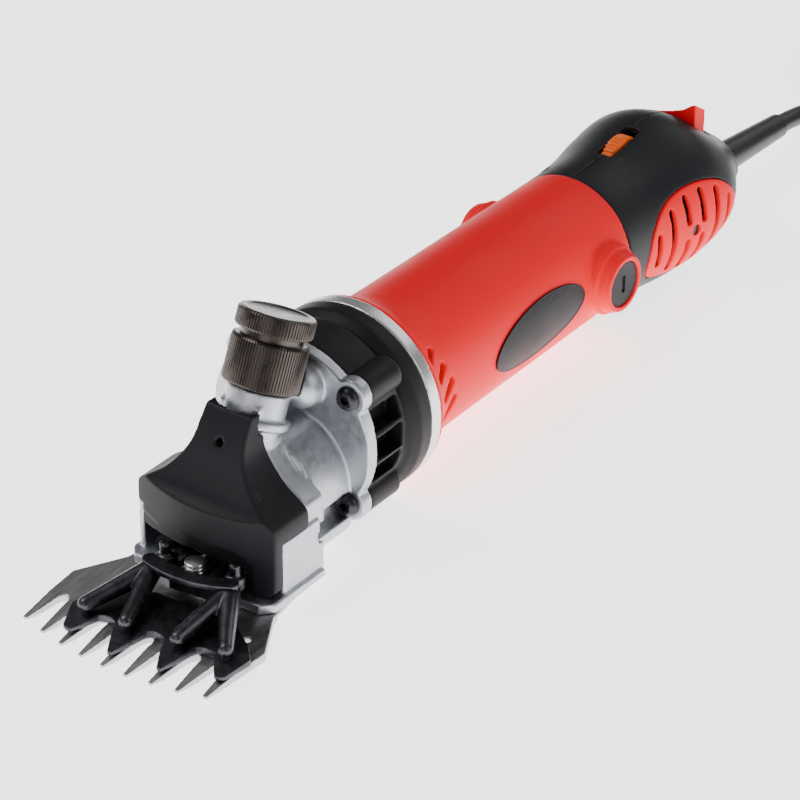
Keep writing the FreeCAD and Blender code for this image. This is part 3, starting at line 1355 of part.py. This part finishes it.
def build():
    for make in (comb, comb_screws, cutter, yokes, yoke_strip, fork, crank_roller, yoke_post, fork_pivot_post,
                 tension_pin, tension_nut, lock_cap, tension_spring, head_casting, head_cover,
                 head_screws, gearbox_housing, bearing_plate, gearbox_screws, pinion, crank_gear,
                 crankshaft, crank_bearings, barrel_housing, stator_core, field_windings, motor_shaft,
                 armature, fan, fan_baffle, motor_bearings, brushes, nameplates, rear_shells,
                 vent_grilles, dust_screens, grille_screws, tail_screws, speed_dial, speed_module,
                 switch_button, switch_body, cord_clamp, cord_guard, power_cord, cord_coil, cord_tie,
                 plug, plug_pins):
        make()


def check():
    """Stops on any object that failed to compute and on any sub-part that is not a valid solid."""
    faults = []
    for thing in DOC.Objects:
        if "Invalid" in thing.State or "Error" in thing.State:
            faults.append("%s (%s) %s" % (thing.Name, thing.Label, thing.State))
    for node in NODES:
        shape = node.Shape
        if shape.isNull() or not shape.isValid() or not shape.Solids:
            faults.append(node.Label + ": no valid solid")
    if faults:
        raise SystemExit("faults:\n" + "\n".join(faults))


def write():
    os.makedirs("parts", exist_ok=True)
    for node in NODES:
        node.Shape.exportStep("parts/%s.step" % node.Label)
    print(len(NODES), "sub-parts written")


build()
DOC.recompute()
check()
write()
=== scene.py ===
import bpy, bmesh
import json, math
from mathutils import Matrix, Vector


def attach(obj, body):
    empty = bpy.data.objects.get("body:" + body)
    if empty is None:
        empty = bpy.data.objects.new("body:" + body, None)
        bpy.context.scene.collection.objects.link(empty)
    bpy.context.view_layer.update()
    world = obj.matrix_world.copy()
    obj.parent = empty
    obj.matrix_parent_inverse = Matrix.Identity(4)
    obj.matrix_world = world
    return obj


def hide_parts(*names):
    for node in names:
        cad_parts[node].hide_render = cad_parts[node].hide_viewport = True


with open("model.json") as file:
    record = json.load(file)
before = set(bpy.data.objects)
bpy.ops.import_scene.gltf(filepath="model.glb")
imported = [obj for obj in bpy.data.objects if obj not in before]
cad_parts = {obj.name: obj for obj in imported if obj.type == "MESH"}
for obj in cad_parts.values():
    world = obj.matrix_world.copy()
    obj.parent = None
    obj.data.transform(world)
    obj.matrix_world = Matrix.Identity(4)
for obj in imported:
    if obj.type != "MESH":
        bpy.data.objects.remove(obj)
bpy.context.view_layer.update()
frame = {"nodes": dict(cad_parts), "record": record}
MM = 0.001


def at_mm(x, y, z):
    return Matrix.Translation(Vector((x * MM, y * MM, z * MM)))


def turned(degrees, axis):
    return Matrix.Rotation(math.radians(degrees), 4, axis)


# The comb frame is level. The barrel frame has the same origin, on the motor's axis at the silver ring's
# rear face, and leans down to the rear.
COMB = at_mm(0.0, -38.4, 35.2)
BARREL = COMB @ turned(-1.83, "X")
# The fork turns about an upright post, and rests at one end of its swing.
FORK = COMB @ at_mm(0.0, -62.5, 0.0) @ turned(7.2, "Z")
# The tension knob's axis leans back from the head.
KNOB = BARREL @ at_mm(0.0, -56.6, 26.1) @ turned(-24, "X")


# ---------------------------------------------------------------- camera, light and floor

def add_camera():
    data = bpy.data.cameras.new("view")
    data.lens = 183.24
    data.sensor_width = 36.0
    data.shift_x = 0.0046
    data.shift_y = -0.0014
    data.clip_start = 0.1
    data.clip_end = 20.0
    camera = bpy.data.objects.new("view", data)
    camera.location = (0.7183, -0.9837, 0.7904)
    camera.rotation_euler = [math.radians(a) for a in (57.367, 0.648, 36.207)]
    bpy.context.scene.collection.objects.link(camera)
    bpy.context.scene.camera = camera


def add_light(name, place, target, width, power):
    data = bpy.data.lights.new(name, "AREA")
    data.shape = "RECTANGLE"
    data.size, data.size_y = width
    data.energy = power
    light = bpy.data.objects.new(name, data)
    light.location = place
    aim = Vector(target) - Vector(place)
    light.rotation_euler = aim.to_track_quat("-Z", "Y").to_euler()
    bpy.context.scene.collection.objects.link(light)


def add_lights():
    centre = (0.0, 0.0, 0.04)
    add_light("key", (-0.9, -0.5, 1.5), centre, (1.0, 1.0), 13.5)
    add_light("fill", (1.5, 0.2, 0.9), centre, (0.8, 1.2), 5.0)
    add_light("front", (0.3, -1.6, 0.7), centre, (1.0, 0.7), 3.2)
    add_light("rear", (0.2, 1.6, 1.2), centre, (1.4, 0.6), 6.0)
    world = bpy.data.worlds.new("studio")
    world.use_nodes = True
    backdrop = world.node_tree.nodes["Background"]
    backdrop.inputs["Color"].default_value = (1.0, 1.0, 1.0, 1.0)
    backdrop.inputs["Strength"].default_value = 0.22
    bpy.context.scene.world = world


def add_floor():
    mesh = bpy.data.meshes.new("floor")
    reach = 6.0
    mesh.from_pydata([(-reach, -reach, 0), (reach, -reach, 0), (reach, reach, 0), (-reach, reach, 0)], [],
                     [(0, 1, 2, 3)])
    floor = bpy.data.objects.new("floor", mesh)
    bpy.context.scene.collection.objects.link(floor)
    material, shader, _ = new_material("floor_white", (0.93, 0.93, 0.93), 0.9)
    shader.inputs["Emission Color"].default_value = (1, 1, 1, 1)
    shader.inputs["Emission Strength"].default_value = 2.5
    mesh.materials.append(material)


# ---------------------------------------------------------------- material building blocks

def new_material(name, colour, roughness, metallic=0.0):
    material = bpy.data.materials.new(name)
    material.use_nodes = True
    tree = material.node_tree
    shader = tree.nodes["Principled BSDF"]
    shader.inputs["Base Color"].default_value = (*colour, 1.0)
    shader.inputs["Roughness"].default_value = roughness
    shader.inputs["Metallic"].default_value = metallic
    return material, shader, tree


def object_place(tree, stretch=(1.0, 1.0, 1.0)):
    """Object coordinates in metres, stretched along the axes."""
    place = tree.nodes.new("ShaderNodeTexCoord")
    mapping = tree.nodes.new("ShaderNodeMapping")
    mapping.inputs["Scale"].default_value = stretch
    tree.links.new(place.outputs["Object"], mapping.inputs["Vector"])
    return mapping.outputs["Vector"]


def noise(tree, size_mm, detail=3.0, stretch=(1.0, 1.0, 1.0)):
    """Noise whose features are about size_mm across."""
    node = tree.nodes.new("ShaderNodeTexNoise")
    node.inputs["Scale"].default_value = 1.0 / (size_mm * MM)
    node.inputs["Detail"].default_value = detail
    node.inputs["Roughness"].default_value = 0.5
    tree.links.new(object_place(tree, stretch), node.inputs["Vector"])
    return node.outputs["Fac"]


def spread(tree, value, low, high, to_low, to_high):
    """Maps a value's range from low..high to to_low..to_high."""
    node = tree.nodes.new("ShaderNodeMapRange")
    for name, number in (("From Min", low), ("From Max", high), ("To Min", to_low), ("To Max", to_high)):
        node.inputs[name].default_value = number
    tree.links.new(value, node.inputs["Value"])
    return node.outputs["Result"]


def bump(tree, shader, height, depth_mm, strength=1.0, under=None):
    """Adds a relief depth_mm deep to the shader, over any relief already there."""
    node = tree.nodes.new("ShaderNodeBump")
    node.inputs["Distance"].default_value = depth_mm * MM
    node.inputs["Strength"].default_value = strength
    tree.links.new(height, node.inputs["Height"])
    if under is not None:
        tree.links.new(under, node.inputs["Normal"])
    tree.links.new(node.outputs["Normal"], shader.inputs["Normal"])
    return node.outputs["Normal"]


def mix_colour(tree, shader, factor, colour_a, colour_b):
    """The base colour goes from one colour to the other as the factor rises."""
    node = tree.nodes.new("ShaderNodeMix")
    node.data_type = "RGBA"
    node.inputs[6].default_value = (*colour_a, 1.0)
    node.inputs[7].default_value = (*colour_b, 1.0)
    tree.links.new(factor, node.inputs[0])
    tree.links.new(node.outputs[2], shader.inputs["Base Color"])


def edge_wear(tree, width=0.04):
    """High on convex edges, where handling rubs the surface."""
    geometry = tree.nodes.new("ShaderNodeNewGeometry")
    return spread(tree, geometry.outputs["Pointiness"], 0.5 + width * 0.5, 0.5 + width * 2.0, 0.0, 1.0)


def moulded_plastic(name, colour, roughness, grain_mm=0.35, grain_depth=0.03, gloss=0.5):
    """Moulded plastic: spark-eroded grain, faint flow variation and rubbed edges."""
    material, shader, tree = new_material(name, colour, roughness)
    shader.inputs["Specular IOR Level"].default_value = gloss
    grain = noise(tree, grain_mm, 2.0)
    relief = bump(tree, shader, grain, grain_depth)
    bump(tree, shader, noise(tree, 14.0, 1.0), 0.08, 0.4, relief)
    patches = noise(tree, 22.0, 4.0)
    tree.links.new(spread(tree, patches, 0.3, 0.7, roughness - 0.05, roughness + 0.07),
                   shader.inputs["Roughness"])
    lighter = tuple(min(1.0, c * 1.35 + 0.012) for c in colour)
    mix_colour(tree, shader, edge_wear(tree), colour, lighter)
    return material


def metal(name, colour, roughness, variation=0.12, size_mm=9.0, stretch=(1, 1, 1), relief_mm=0.01,
          relief_size=0.3):
    """Bare metal: uneven tone, fine relief and roughness that varies over the surface."""
    material, shader, tree = new_material(name, colour, roughness, 1.0)
    tone = noise(tree, size_mm, 5.0, stretch)
    darker = tuple(c * (1 - variation) for c in colour)
    lighter = tuple(min(1.0, c * (1 + variation)) for c in colour)
    mix_colour(tree, shader, spread(tree, tone, 0.3, 0.7, 0.0, 1.0), darker, lighter)
    tree.links.new(spread(tree, noise(tree, size_mm * 0.5, 4.0, stretch), 0.3, 0.7, roughness * 0.8,
                          roughness * 1.25), shader.inputs["Roughness"])
    bump(tree, shader, noise(tree, relief_size, 3.0, stretch), relief_mm)
    return material


MATERIALS = {}


def make_materials():
    m = MATERIALS
    m["red_plastic"] = moulded_plastic("red_plastic", (1.0, 0.002, 0.012), 0.5, 0.5, 0.006, 0.16)
    m["black_plastic"] = moulded_plastic("black_plastic", (0.0055, 0.006, 0.0085), 0.5, 0.4, 0.03, 0.24)
    m["charcoal_plastic"] = moulded_plastic("charcoal_plastic", (0.008, 0.0085, 0.0115), 0.45, 0.4, 0.03,
                                            0.28)
    m["cast_aluminium"] = metal("cast_aluminium", (0.48, 0.495, 0.53), 0.4, 0.06, 6.0, relief_mm=0.03,
                                relief_size=0.45)
    m["turned_aluminium"] = metal("turned_aluminium", (0.74, 0.74, 0.75), 0.30, 0.05, 3.0,
                                  (1.0, 8.0, 1.0), 0.01, 0.2)
    m["blade_steel"] = metal("blade_steel", (0.5, 0.49, 0.495), 0.32, 0.14, 10.0, (4.0, 0.6, 1.0), 0.006,
                             0.25)
    m["black_steel"] = metal("black_steel", (0.075, 0.075, 0.085), 0.34, 0.25, 5.0, relief_mm=0.02)
    m["knurled_steel"] = metal("knurled_steel", (0.095, 0.08, 0.073), 0.3, 0.06, 9.0, relief_mm=0.004)
    m["screw_steel"] = metal("screw_steel", (0.05, 0.05, 0.055), 0.34, 0.2, 2.0)
    m["bright_steel"] = metal("bright_steel", (0.6, 0.6, 0.61), 0.2, 0.08, 3.0)
    m["orange_plastic"] = moulded_plastic("orange_plastic", (1.0, 0.13, 0.003), 0.3, 0.5, 0.004, 0.2)
    m["gear_steel"] = metal("gear_steel", (0.42, 0.42, 0.43), 0.3, 0.1, 2.0)
    m["laminated_steel"] = metal("laminated_steel", (0.3, 0.3, 0.32), 0.45, 0.25, 0.6, (0.05, 1.0, 0.05),
                                 0.1, 0.5)
    m["copper"] = metal("copper", (0.72, 0.30, 0.14), 0.32, 0.25, 0.5, (0.1, 1.0, 0.1), 0.15, 0.5)
    m["brass"] = metal("brass", (0.78, 0.60, 0.30), 0.28, 0.1, 4.0)
    m["carbon"] = moulded_plastic("carbon", (0.02, 0.02, 0.022), 0.6, 0.2, 0.03)
    m["fan_plastic"] = moulded_plastic("fan_plastic", (0.06, 0.06, 0.065), 0.45, 0.4, 0.02)
    m["rubber"] = moulded_plastic("rubber", (0.016, 0.016, 0.018), 0.38, 0.6, 0.01)
    m["board"] = moulded_plastic("board", (0.02, 0.16, 0.06), 0.3, 1.2, 0.03)
    m["screen_mesh"] = metal("screen_mesh", (0.03, 0.03, 0.03), 0.5, 0.3, 0.8, relief_mm=0.2, relief_size=0.9)
    m["nameplate"] = moulded_plastic("nameplate", (0.006, 0.006, 0.007), 0.4, 0.5, 0.004, 0.2)


def paint_cad_nodes():
    for subpart in frame["record"]["subparts"]:
        node = frame["nodes"][subpart["node"]]
        node.data.materials.clear()
        node.data.materials.append(MATERIALS[subpart["material_slot"]])


# ---------------------------------------------------------------- mesh building blocks

def body_of(node):
    for body, members in frame["record"]["behaviour"]["bodies"].items():
        if node in members:
            return body
    return None


def slot_of(node):
    for subpart in frame["record"]["subparts"]:
        if subpart["node"] == node:
            return subpart["material_slot"]
    return None


def add_piece(name, mesh, body, slot):
    piece = bpy.data.objects.new(name, mesh)
    bpy.context.scene.collection.objects.link(piece)
    mesh.materials.clear()
    mesh.materials.append(MATERIALS[slot])
    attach(piece, body)
    return piece


def evaluated(data, name, modify=None):
    """The mesh that a curve or a modified mesh gives."""
    holder = bpy.data.objects.new(name, data)
    bpy.context.scene.collection.objects.link(holder)
    if modify:
        modify(holder)
    bpy.context.view_layer.update()
    graph = bpy.context.evaluated_depsgraph_get()
    mesh = bpy.data.meshes.new_from_object(holder.evaluated_get(graph))
    bpy.data.objects.remove(holder)
    return mesh


def remeshed(mesh, voxel, rounds):
    """The mesh rebuilt from small even faces, with its edges and corners eased."""
    def modify(holder):
        remesh = holder.modifiers.new("remesh", "REMESH")
        remesh.mode = "VOXEL"
        remesh.voxel_size = voxel
        smooth = holder.modifiers.new("smooth", "SMOOTH")
        smooth.factor = 0.5
        smooth.iterations = rounds
    return evaluated(mesh, "remeshed", modify)


def lathe(profile, steps=96, shape=None):
    """A mesh in millimetres turned about Z from (radius, height) points; shape may vary the radius."""
    body = bmesh.new()
    rings = []
    for k, (radius, height) in enumerate(profile):
        if radius < 1e-6:
            rings.append([body.verts.new((0.0, 0.0, height))])
            continue
        ring = []
        for i in range(steps):
            angle = 2 * math.pi * i / steps
            r = shape(k, i, radius) if shape else radius
            ring.append(body.verts.new((r * math.cos(angle), r * math.sin(angle), height)))
        rings.append(ring)
    for low, high in zip(rings, rings[1:]):
        for i in range(steps):
            j = (i + 1) % steps
            if len(low) == 1 and len(high) == 1:
                continue
            if len(low) == 1:
                body.faces.new((low[0], high[i], high[j]))
            elif len(high) == 1:
                body.faces.new((low[i], low[j], high[0]))
            else:
                body.faces.new((low[i], low[j], high[j], high[i]))
    bmesh.ops.remove_doubles(body, verts=body.verts, dist=1e-5)
    bmesh.ops.recalc_face_normals(body, faces=body.faces)
    mesh = bpy.data.meshes.new("lathe")
    body.to_mesh(mesh)
    body.free()
    return mesh


def placed(meshes, matrix_each):
    """One mesh in metres from meshes in millimetres, each with its own placing matrix."""
    body = bmesh.new()
    for mesh, matrix in zip(meshes, matrix_each):
        mesh = mesh.copy()
        mesh.transform(matrix @ Matrix.Scale(MM, 4))
        body.from_mesh(mesh)
    joined = bpy.data.meshes.new("joined")
    body.to_mesh(joined)
    body.free()
    return joined


def shade(mesh, angle=35):
    """Smooth shading that keeps edges sharper than the angle."""
    mesh.shade_smooth()
    mesh.set_sharp_from_angle(angle=math.radians(angle))
    return mesh


def stand_in_for(node, mesh, name):
    """Adds a detailed piece in place of a CAD node."""
    piece = add_piece(name, mesh, body_of(node), slot_of(node))
    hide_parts(node)
    return piece


def softened(node, voxel_mm, rounds):
    """Stands for a CAD node: the same shape, with the eased edges and fillets of a cast or moulded part."""
    mesh = remeshed(frame["nodes"][node].data.copy(), voxel_mm * MM, rounds)
    mesh.shade_smooth()
    return stand_in_for(node, mesh, node + "_finished")


def curve_tube(points, radius_mm, closed=False, resolution=3):
    """A thin round bead through points in millimetres, as a mesh in millimetres."""
    curve = bpy.data.curves.new("bead", "CURVE")
    curve.dimensions = "3D"
    curve.bevel_depth = radius_mm
    curve.bevel_resolution = resolution
    curve.use_fill_caps = True
    spline = curve.splines.new("POLY")
    spline.points.add(len(points) - 1)
    for point, place in zip(spline.points, points):
        point.co = (*place, 1.0)
    spline.use_cyclic_u = closed
    return evaluated(curve, "bead")


def flat_plate(loops, low, high):
    """A plate in millimetres with holes: the first loop is its outline, the others its holes."""
    curve = bpy.data.curves.new("plate", "CURVE")
    curve.dimensions = "2D"
    curve.fill_mode = "BOTH"
    curve.extrude = (high - low) / 2
    for loop in loops:
        spline = curve.splines.new("POLY")
        spline.points.add(len(loop) - 1)
        for point, (x, y) in zip(spline.points, loop):
            point.co = (x, y, 0.0, 1.0)
        spline.use_cyclic_u = True
    mesh = evaluated(curve, "plate")
    mesh.transform(Matrix.Translation(Vector((0, 0, (low + high) / 2))))
    return mesh


# ---------------------------------------------------------------- tension knob

RIBS = 76


def rib(i, radius, depth):
    """Trapezoid ribs: two steps high and two low."""
    return radius if i % 4 < 2 else radius - depth


def add_tension_nut():
    """The knurled sleeve with eased ends, and its smooth neck."""
    profile = [(8.6, 1.6), (12.4, 1.6), (13.0, 1.9), (13.4, 2.5), (13.4, 17.3), (13.0, 17.9), (12.4, 18.2),
               (10.9, 18.25), (10.9, 23.0), (5.0, 23.0), (5.0, 12.0), (8.6, 12.0), (8.6, 1.6)]
    mesh = lathe(profile, RIBS * 4, lambda k, i, r: rib(i, r, 0.4) if 2 <= k <= 5 else r)
    stand_in_for("tension_nut", shade(placed([mesh], [KNOB]), 28), "knurled_sleeve")


def add_lock_cap():
    """The knurled cap: ribs round its side, a turned rim and a shallow dish on top."""
    profile = [(0.0, 27.15), (10.0, 27.15), (10.5, 27.35), (11.0, 27.6), (12.3, 27.6), (13.0, 27.3),
               (13.5, 26.6), (13.5, 21.5), (13.1, 20.9), (12.5, 20.6), (11.2, 20.6), (11.2, 23.3),
               (0.0, 23.3)]
    mesh = lathe(profile, RIBS * 4, lambda k, i, r: rib(i, r, 0.45) if 6 <= k <= 8 else r)
    stand_in_for("lock_cap", shade(placed([mesh], [KNOB]), 28), "knurled_cap")


# ---------------------------------------------------------------- screws, post and dial

FLANGE_FACE = -39.0
HEAD_SCREWS = [(-24.4, -18.35), (-21.2, 26.15), (24.4, -18.35), (24.4, 23.35)]


def hexagon(i, steps, radius):
    """A hexagon's distance from its centre at step i; radius is its inner one."""
    turn = (2 * math.pi * i / steps) % (math.pi / 3) - math.pi / 6
    return radius / math.cos(turn)


def add_head_screws():
    """Button heads with hexagon sockets, and their shanks."""
    steps = 48
    profile = [(0.0, 1.3), (1.45, 1.3), (1.45, 2.8), (2.5, 3.0), (3.4, 2.6), (4.1, 1.7), (4.4, 0.7),
               (4.4, 0.0), (2.1, 0.0), (2.1, -15.0), (0.0, -15.0)]
    mesh = lathe(profile, steps, lambda k, i, r: hexagon(i, steps, r) if k in (1, 2) else r)
    places = [BARREL @ at_mm(x, FLANGE_FACE, z) @ turned(90, "X") for x, z in HEAD_SCREWS]
    stand_in_for("head_screws", shade(placed([mesh] * len(places), places)), "button_head_screws")


def add_yoke_post():
    """A turned post with three rounded rings and a domed top."""
    profile = [(0.0, -19.55), (2.8, -19.55)]
    for low in (-19.1, -17.6, -16.1):
        profile += [(2.8, low), (3.3, low + 0.1), (3.5, low + 0.4), (3.3, low + 0.7), (2.8, low + 0.8)]
    profile += [(2.4, -15.15), (0.0, -15.1)]
    place = FORK @ at_mm(0.0, -35.7, 0.0)
    stand_in_for("yoke_post", shade(placed([lathe(profile, 64)], [place]), 50), "ringed_post")


DIAL_LINE = 160.0
DIAL_TOP = 30.8
DIAL_ROUND = 11.0


def add_speed_dial():
    """The thumbwheel: fine ribs across its rim, and the axle that it turns on."""
    profile = [(0.0, -6.5), (1.8, -6.5), (1.8, -2.6), (9.6, -2.6), (10.6, -2.3), (11.0, -1.8), (11.0, 1.8),
               (10.6, 2.3), (9.6, 2.6), (1.8, 2.6), (1.8, 6.5), (0.0, 6.5)]
    mesh = lathe(profile, 38 * 4, lambda k, i, r: rib(i, r, 0.6) if 4 <= k <= 7 else r)
    place = BARREL @ at_mm(0.0, DIAL_LINE, DIAL_TOP - DIAL_ROUND) @ turned(90, "Y")
    stand_in_for("speed_dial", shade(placed([mesh], [place])), "ribbed_dial")


# ---------------------------------------------------------------- comb and cutter

TOOTH_PITCH = 9.5
COMB_TIP = -143.1
COMB_ROOT = -121.7
COMB_ARC = 115.0
COMB_UNDER = -35.2
COMB_THICK = 3.2
CUTTER_THICK = 3.0
CUTTER_REACH = 75.8


def circle(x, y, radius, steps=24):
    return [(x + radius * math.cos(2 * math.pi * i / steps), y + radius * math.sin(2 * math.pi * i / steps))
            for i in range(steps)]


def gothic_gap(middle, root, tip_left, tip_right, narrow, wide):
    """One gap between two teeth: a round root that opens slowly towards the tips."""
    along = [1.0, 0.85, 0.7, 0.55, 0.4, 0.27, 0.16, 0.09, 0.045, 0.015]
    def half(t):
        return narrow * min(1.0, math.sqrt(t / 0.1)) + (wide - narrow) * t ** 1.25
    left = [(middle - half(t), root + (tip_left - root) * t) for t in along]
    right = [(middle + half(t), root + (tip_right - root) * t) for t in reversed(along)]
    return left + [(middle, root)] + right


def comb_tip(x):
    """The tips lie on an arc, furthest forward in the middle."""
    return COMB_TIP + 0.6 + x * x / (2 * COMB_ARC)


def add_comb():
    """The comb: slim teeth, ground down towards their tips, and a thin slotted back."""
    outer = 4 * TOOTH_PITCH
    front = [(-outer - 0.9, comb_tip(outer))]
    for i in range(8):
        middle = (i - 3.5) * TOOTH_PITCH
        root = COMB_ROOT + middle * middle / (5 * COMB_ARC)
        left, right = comb_tip(middle - TOOTH_PITCH / 2), comb_tip(middle + TOOTH_PITCH / 2)
        front += gothic_gap(middle, root, left, right, 2.0, 4.0)
    front.append((outer + 0.9, comb_tip(outer)))
    wing = [(41.0, COMB_TIP + 35.5), (31.0, COMB_TIP + 53.0), (28.5, -72.0)]
    slot = [(22.7, -72.0), (22.7, -80.0), (21.9, -81.9), (20.0, -82.7), (18.1, -81.9), (17.3, -80.0),
            (17.3, -72.0)]
    right = wing + slot
    outline = front + right + [(-x, y) for x, y in reversed(right)]
    mesh = remeshed(flat_plate([outline, circle(31.5, COMB_TIP + 38.0, 1.4)], 0.0, COMB_THICK), 0.3, 3)
    for vertex in mesh.vertices:
        x, y, z = vertex.co
        ahead = max(0.0, (COMB_TIP + 15.0 + x * x / (2 * COMB_ARC)) - y)
        high = COMB_THICK - ahead * 0.1
        low = max(0.0, (COMB_TIP + 6.0 + x * x / (2 * COMB_ARC)) - y) * 0.14
        if y > -88.0:
            low = 1.7 * min(1.0, (y + 88.0) / 0.4)
        vertex.co.z = COMB_UNDER + low + (high - low) * z / COMB_THICK
    stand_in_for("comb", shade(placed([mesh], [COMB]), 40), "ground_comb")


def cutter_tip(x):
    return -CUTTER_REACH + x * x / (2 * CUTTER_REACH)


def add_cutter():
    """Four long teeth, thinning towards their tips, over the comb."""
    reach = CUTTER_REACH
    floor = COMB_UNDER + COMB_THICK + 0.1
    outer = 3 * TOOTH_PITCH
    front = [(-outer - 6.0, -reach + 17.5), (-outer - 5.0, -reach + 14.0), (-outer - 2.6, -reach + 6.5),
             (-outer - 0.7, cutter_tip(outer))]
    for i in range(3):
        middle = (i - 1) * 2 * TOOTH_PITCH
        left, right = middle - TOOTH_PITCH, middle + TOOTH_PITCH
        front += gothic_gap(middle, -reach + 15.6, cutter_tip(left), cutter_tip(right), 3.4, 8.8)
    front += [(outer + 0.7, cutter_tip(outer)), (outer + 2.6, -reach + 6.5), (outer + 5.0, -reach + 14.0),
              (outer + 6.0, -reach + 17.5)]
    right = [(30.0, -reach + 23.5), (21.0, -reach + 31.0), (12.0, -reach + 35.0), (5.0, -reach + 34.2)]
    outline = front + right + [(-x, y) for x, y in reversed(right)]
    mesh = remeshed(flat_plate([outline], 0.0, CUTTER_THICK), 0.3, 3)
    for vertex in mesh.vertices:
        x, y, z = vertex.co
        ahead = max(0.0, -reach + 13.0 + x * x / (2 * reach) - y)
        vertex.co.z = floor + z * (1.0 - ahead * 0.04)
    stand_in_for("cutter", shade(placed([mesh], [FORK]), 40), "ground_cutter")


# ---------------------------------------------------------------- nameplate rims and air screens

NAMEPLATE_HALF = (27.5, 10.0)
NAMEPLATE_PLACE = (70.0, 0.8)


def barrel_radius(y):
    """The barrel narrows a little to the rear."""
    return 28.0 - 0.8 * (y - 30.0) / 99.3


def nameplate_outline(side, lift, steps=96):
    """Points of the nameplate's slightly tilted oval, lifted off the barrel's side."""
    points = []
    slope = math.radians(4)
    for i in range(steps):
        angle = 2 * math.pi * i / steps
        u, v = NAMEPLATE_HALF[0] * math.cos(angle), NAMEPLATE_HALF[1] * math.sin(angle)
        y = NAMEPLATE_PLACE[0] + u * math.cos(slope) - v * math.sin(slope)
        z = NAMEPLATE_PLACE[1] + u * math.sin(slope) + v * math.cos(slope)
        points.append((side * math.sqrt((barrel_radius(y) + lift) ** 2 - z * z), y, z))
    return points


def add_nameplate_rims():
    """A raised rim around each plain nameplate."""
    for side, name in ((-1, "nameplate_rim_left"), (1, "nameplate_rim_right")):
        rim = curve_tube(nameplate_outline(side, 0.35), 0.4, closed=True)
        add_piece(name, shade(placed([rim], [BARREL]), 60), "housing", "nameplate")


def add_dust_screens():
    """A screen of crossing wires behind each grille."""
    meshes = []
    uprights, levels, wire = 37, 18, 0.22
    for side in (-1, 1):
        x = side * 20.9
        for i in range(uprights):
            y = 141.3 + i * 51.4 / (uprights - 1)
            meshes.append(curve_tube([(x, y, -11.8), (x, y, 12.8)], wire, resolution=1))
        for i in range(levels):
            z = -11.7 + i * 24.4 / (levels - 1)
            meshes.append(curve_tube([(x, 141.2, z), (x, 192.8, z)], wire, resolution=1))
    mesh = placed(meshes, [BARREL] * len(meshes))
    stand_in_for("dust_screens", mesh, "woven_screens")


# ---------------------------------------------------------------- cord

CORD_ROUND = 3.75
COIL_CENTRE = (25.0, 342.0)


def cord_route():
    return [(0.0, 236.9, 14.25), (0.4, 250.0, 12.9), (0.2, 264.0, 8.6), (-4.5, 279.0, 4.6),
            (-14.0, 295.0, 3.9), (-26.5, 311.5, 3.9)]


def tail_route():
    return [(85.0, 342.0, 11.4), (84.0, 328.0, 11.5), (80.0, 314.0, 12.0), (74.0, 301.0, 12.6),
            (70.5, 288.0, 12.9), (70.0, 277.0, 12.9)]


def ease(x):
    """0 to 1 with a soft start and end."""
    x = min(1.0, max(0.0, x))
    return x * x * (3 - 2 * x)


def coil_turns():
    """Five turns from the outside in, then five on top of them from the inside out."""
    across = 2 * CORD_ROUND
    half, steps = 5, 24
    count = int((2 * half - 150 / 360) * steps)
    points = []
    for i in range(1, count):
        k, part = divmod(i / steps, 1.0)
        shift = k + ease((part - 0.62) / 0.23)
        if shift <= half - 1:
            radius, level = 8 - shift, 0.0
        elif shift <= half:
            radius, level = 8 - (half - 1), shift - (half - 1)
        else:
            radius, level = 4 + min(shift - half, half - 1), 1.0
        angle = math.radians(210) - 2 * math.pi * i / steps
        points.append((COIL_CENTRE[0] + radius * across * math.cos(angle),
                       COIL_CENTRE[1] + radius * across * math.sin(angle),
                       CORD_ROUND + 0.05 + level * (across + 0.1)))
    return points


def add_cord():
    points = cord_route() + coil_turns() + tail_route()
    curve = bpy.data.curves.new("power_cord_line", "CURVE")
    curve.dimensions = "3D"
    curve.bevel_depth = CORD_ROUND * MM
    curve.bevel_resolution = 5
    curve.resolution_u = 6
    spline = curve.splines.new("NURBS")
    spline.points.add(len(points) - 1)
    for point, (x, y, z) in zip(spline.points, points):
        point.co = (x * MM, y * MM, z * MM, 1.0)
    spline.order_u = 3
    spline.use_endpoint_u = True
    cord = bpy.data.objects.new("power_cord_line", curve)
    bpy.context.scene.collection.objects.link(cord)
    curve.materials.append(MATERIALS["rubber"])
    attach(cord, "housing")
    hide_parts("power_cord", "cord_coil")


# ---------------------------------------------------------------- build

# Each cast or moulded node's easing: the size of the rebuilt mesh's faces in mm, and the smoothing rounds.
EASED_NODES = {
    "head_cover": (0.45, 9),
    "head_casting": (0.5, 7),
    "gearbox_housing": (0.55, 6),
    "bearing_plate": (0.45, 3),
    "barrel_housing": (0.55, 7),
    "rear_shell_left": (0.55, 7),
    "rear_shell_right": (0.55, 7),
    "vent_grille_left": (0.35, 5),
    "vent_grille_right": (0.35, 5),
    "yoke_left": (0.35, 8),
    "yoke_right": (0.35, 8),
    "fork": (0.45, 6),
    "yoke_strip": (0.3, 4),
    "switch_button": (0.35, 8),
    "brush_caps": (0.25, 3),
    "nameplates": (0.2, 2),
    "plug": (0.6, 8),
    "cord_guard": (0.35, 4),
}

make_materials()
add_camera()
add_lights()
add_floor()
paint_cad_nodes()

add_tension_nut()
add_lock_cap()
add_head_screws()
add_yoke_post()
add_speed_dial()
add_comb()
add_cutter()
add_nameplate_rims()
add_dust_screens()
finished = {node: softened(node, *easing) for node, easing in EASED_NODES.items()}
add_cord()
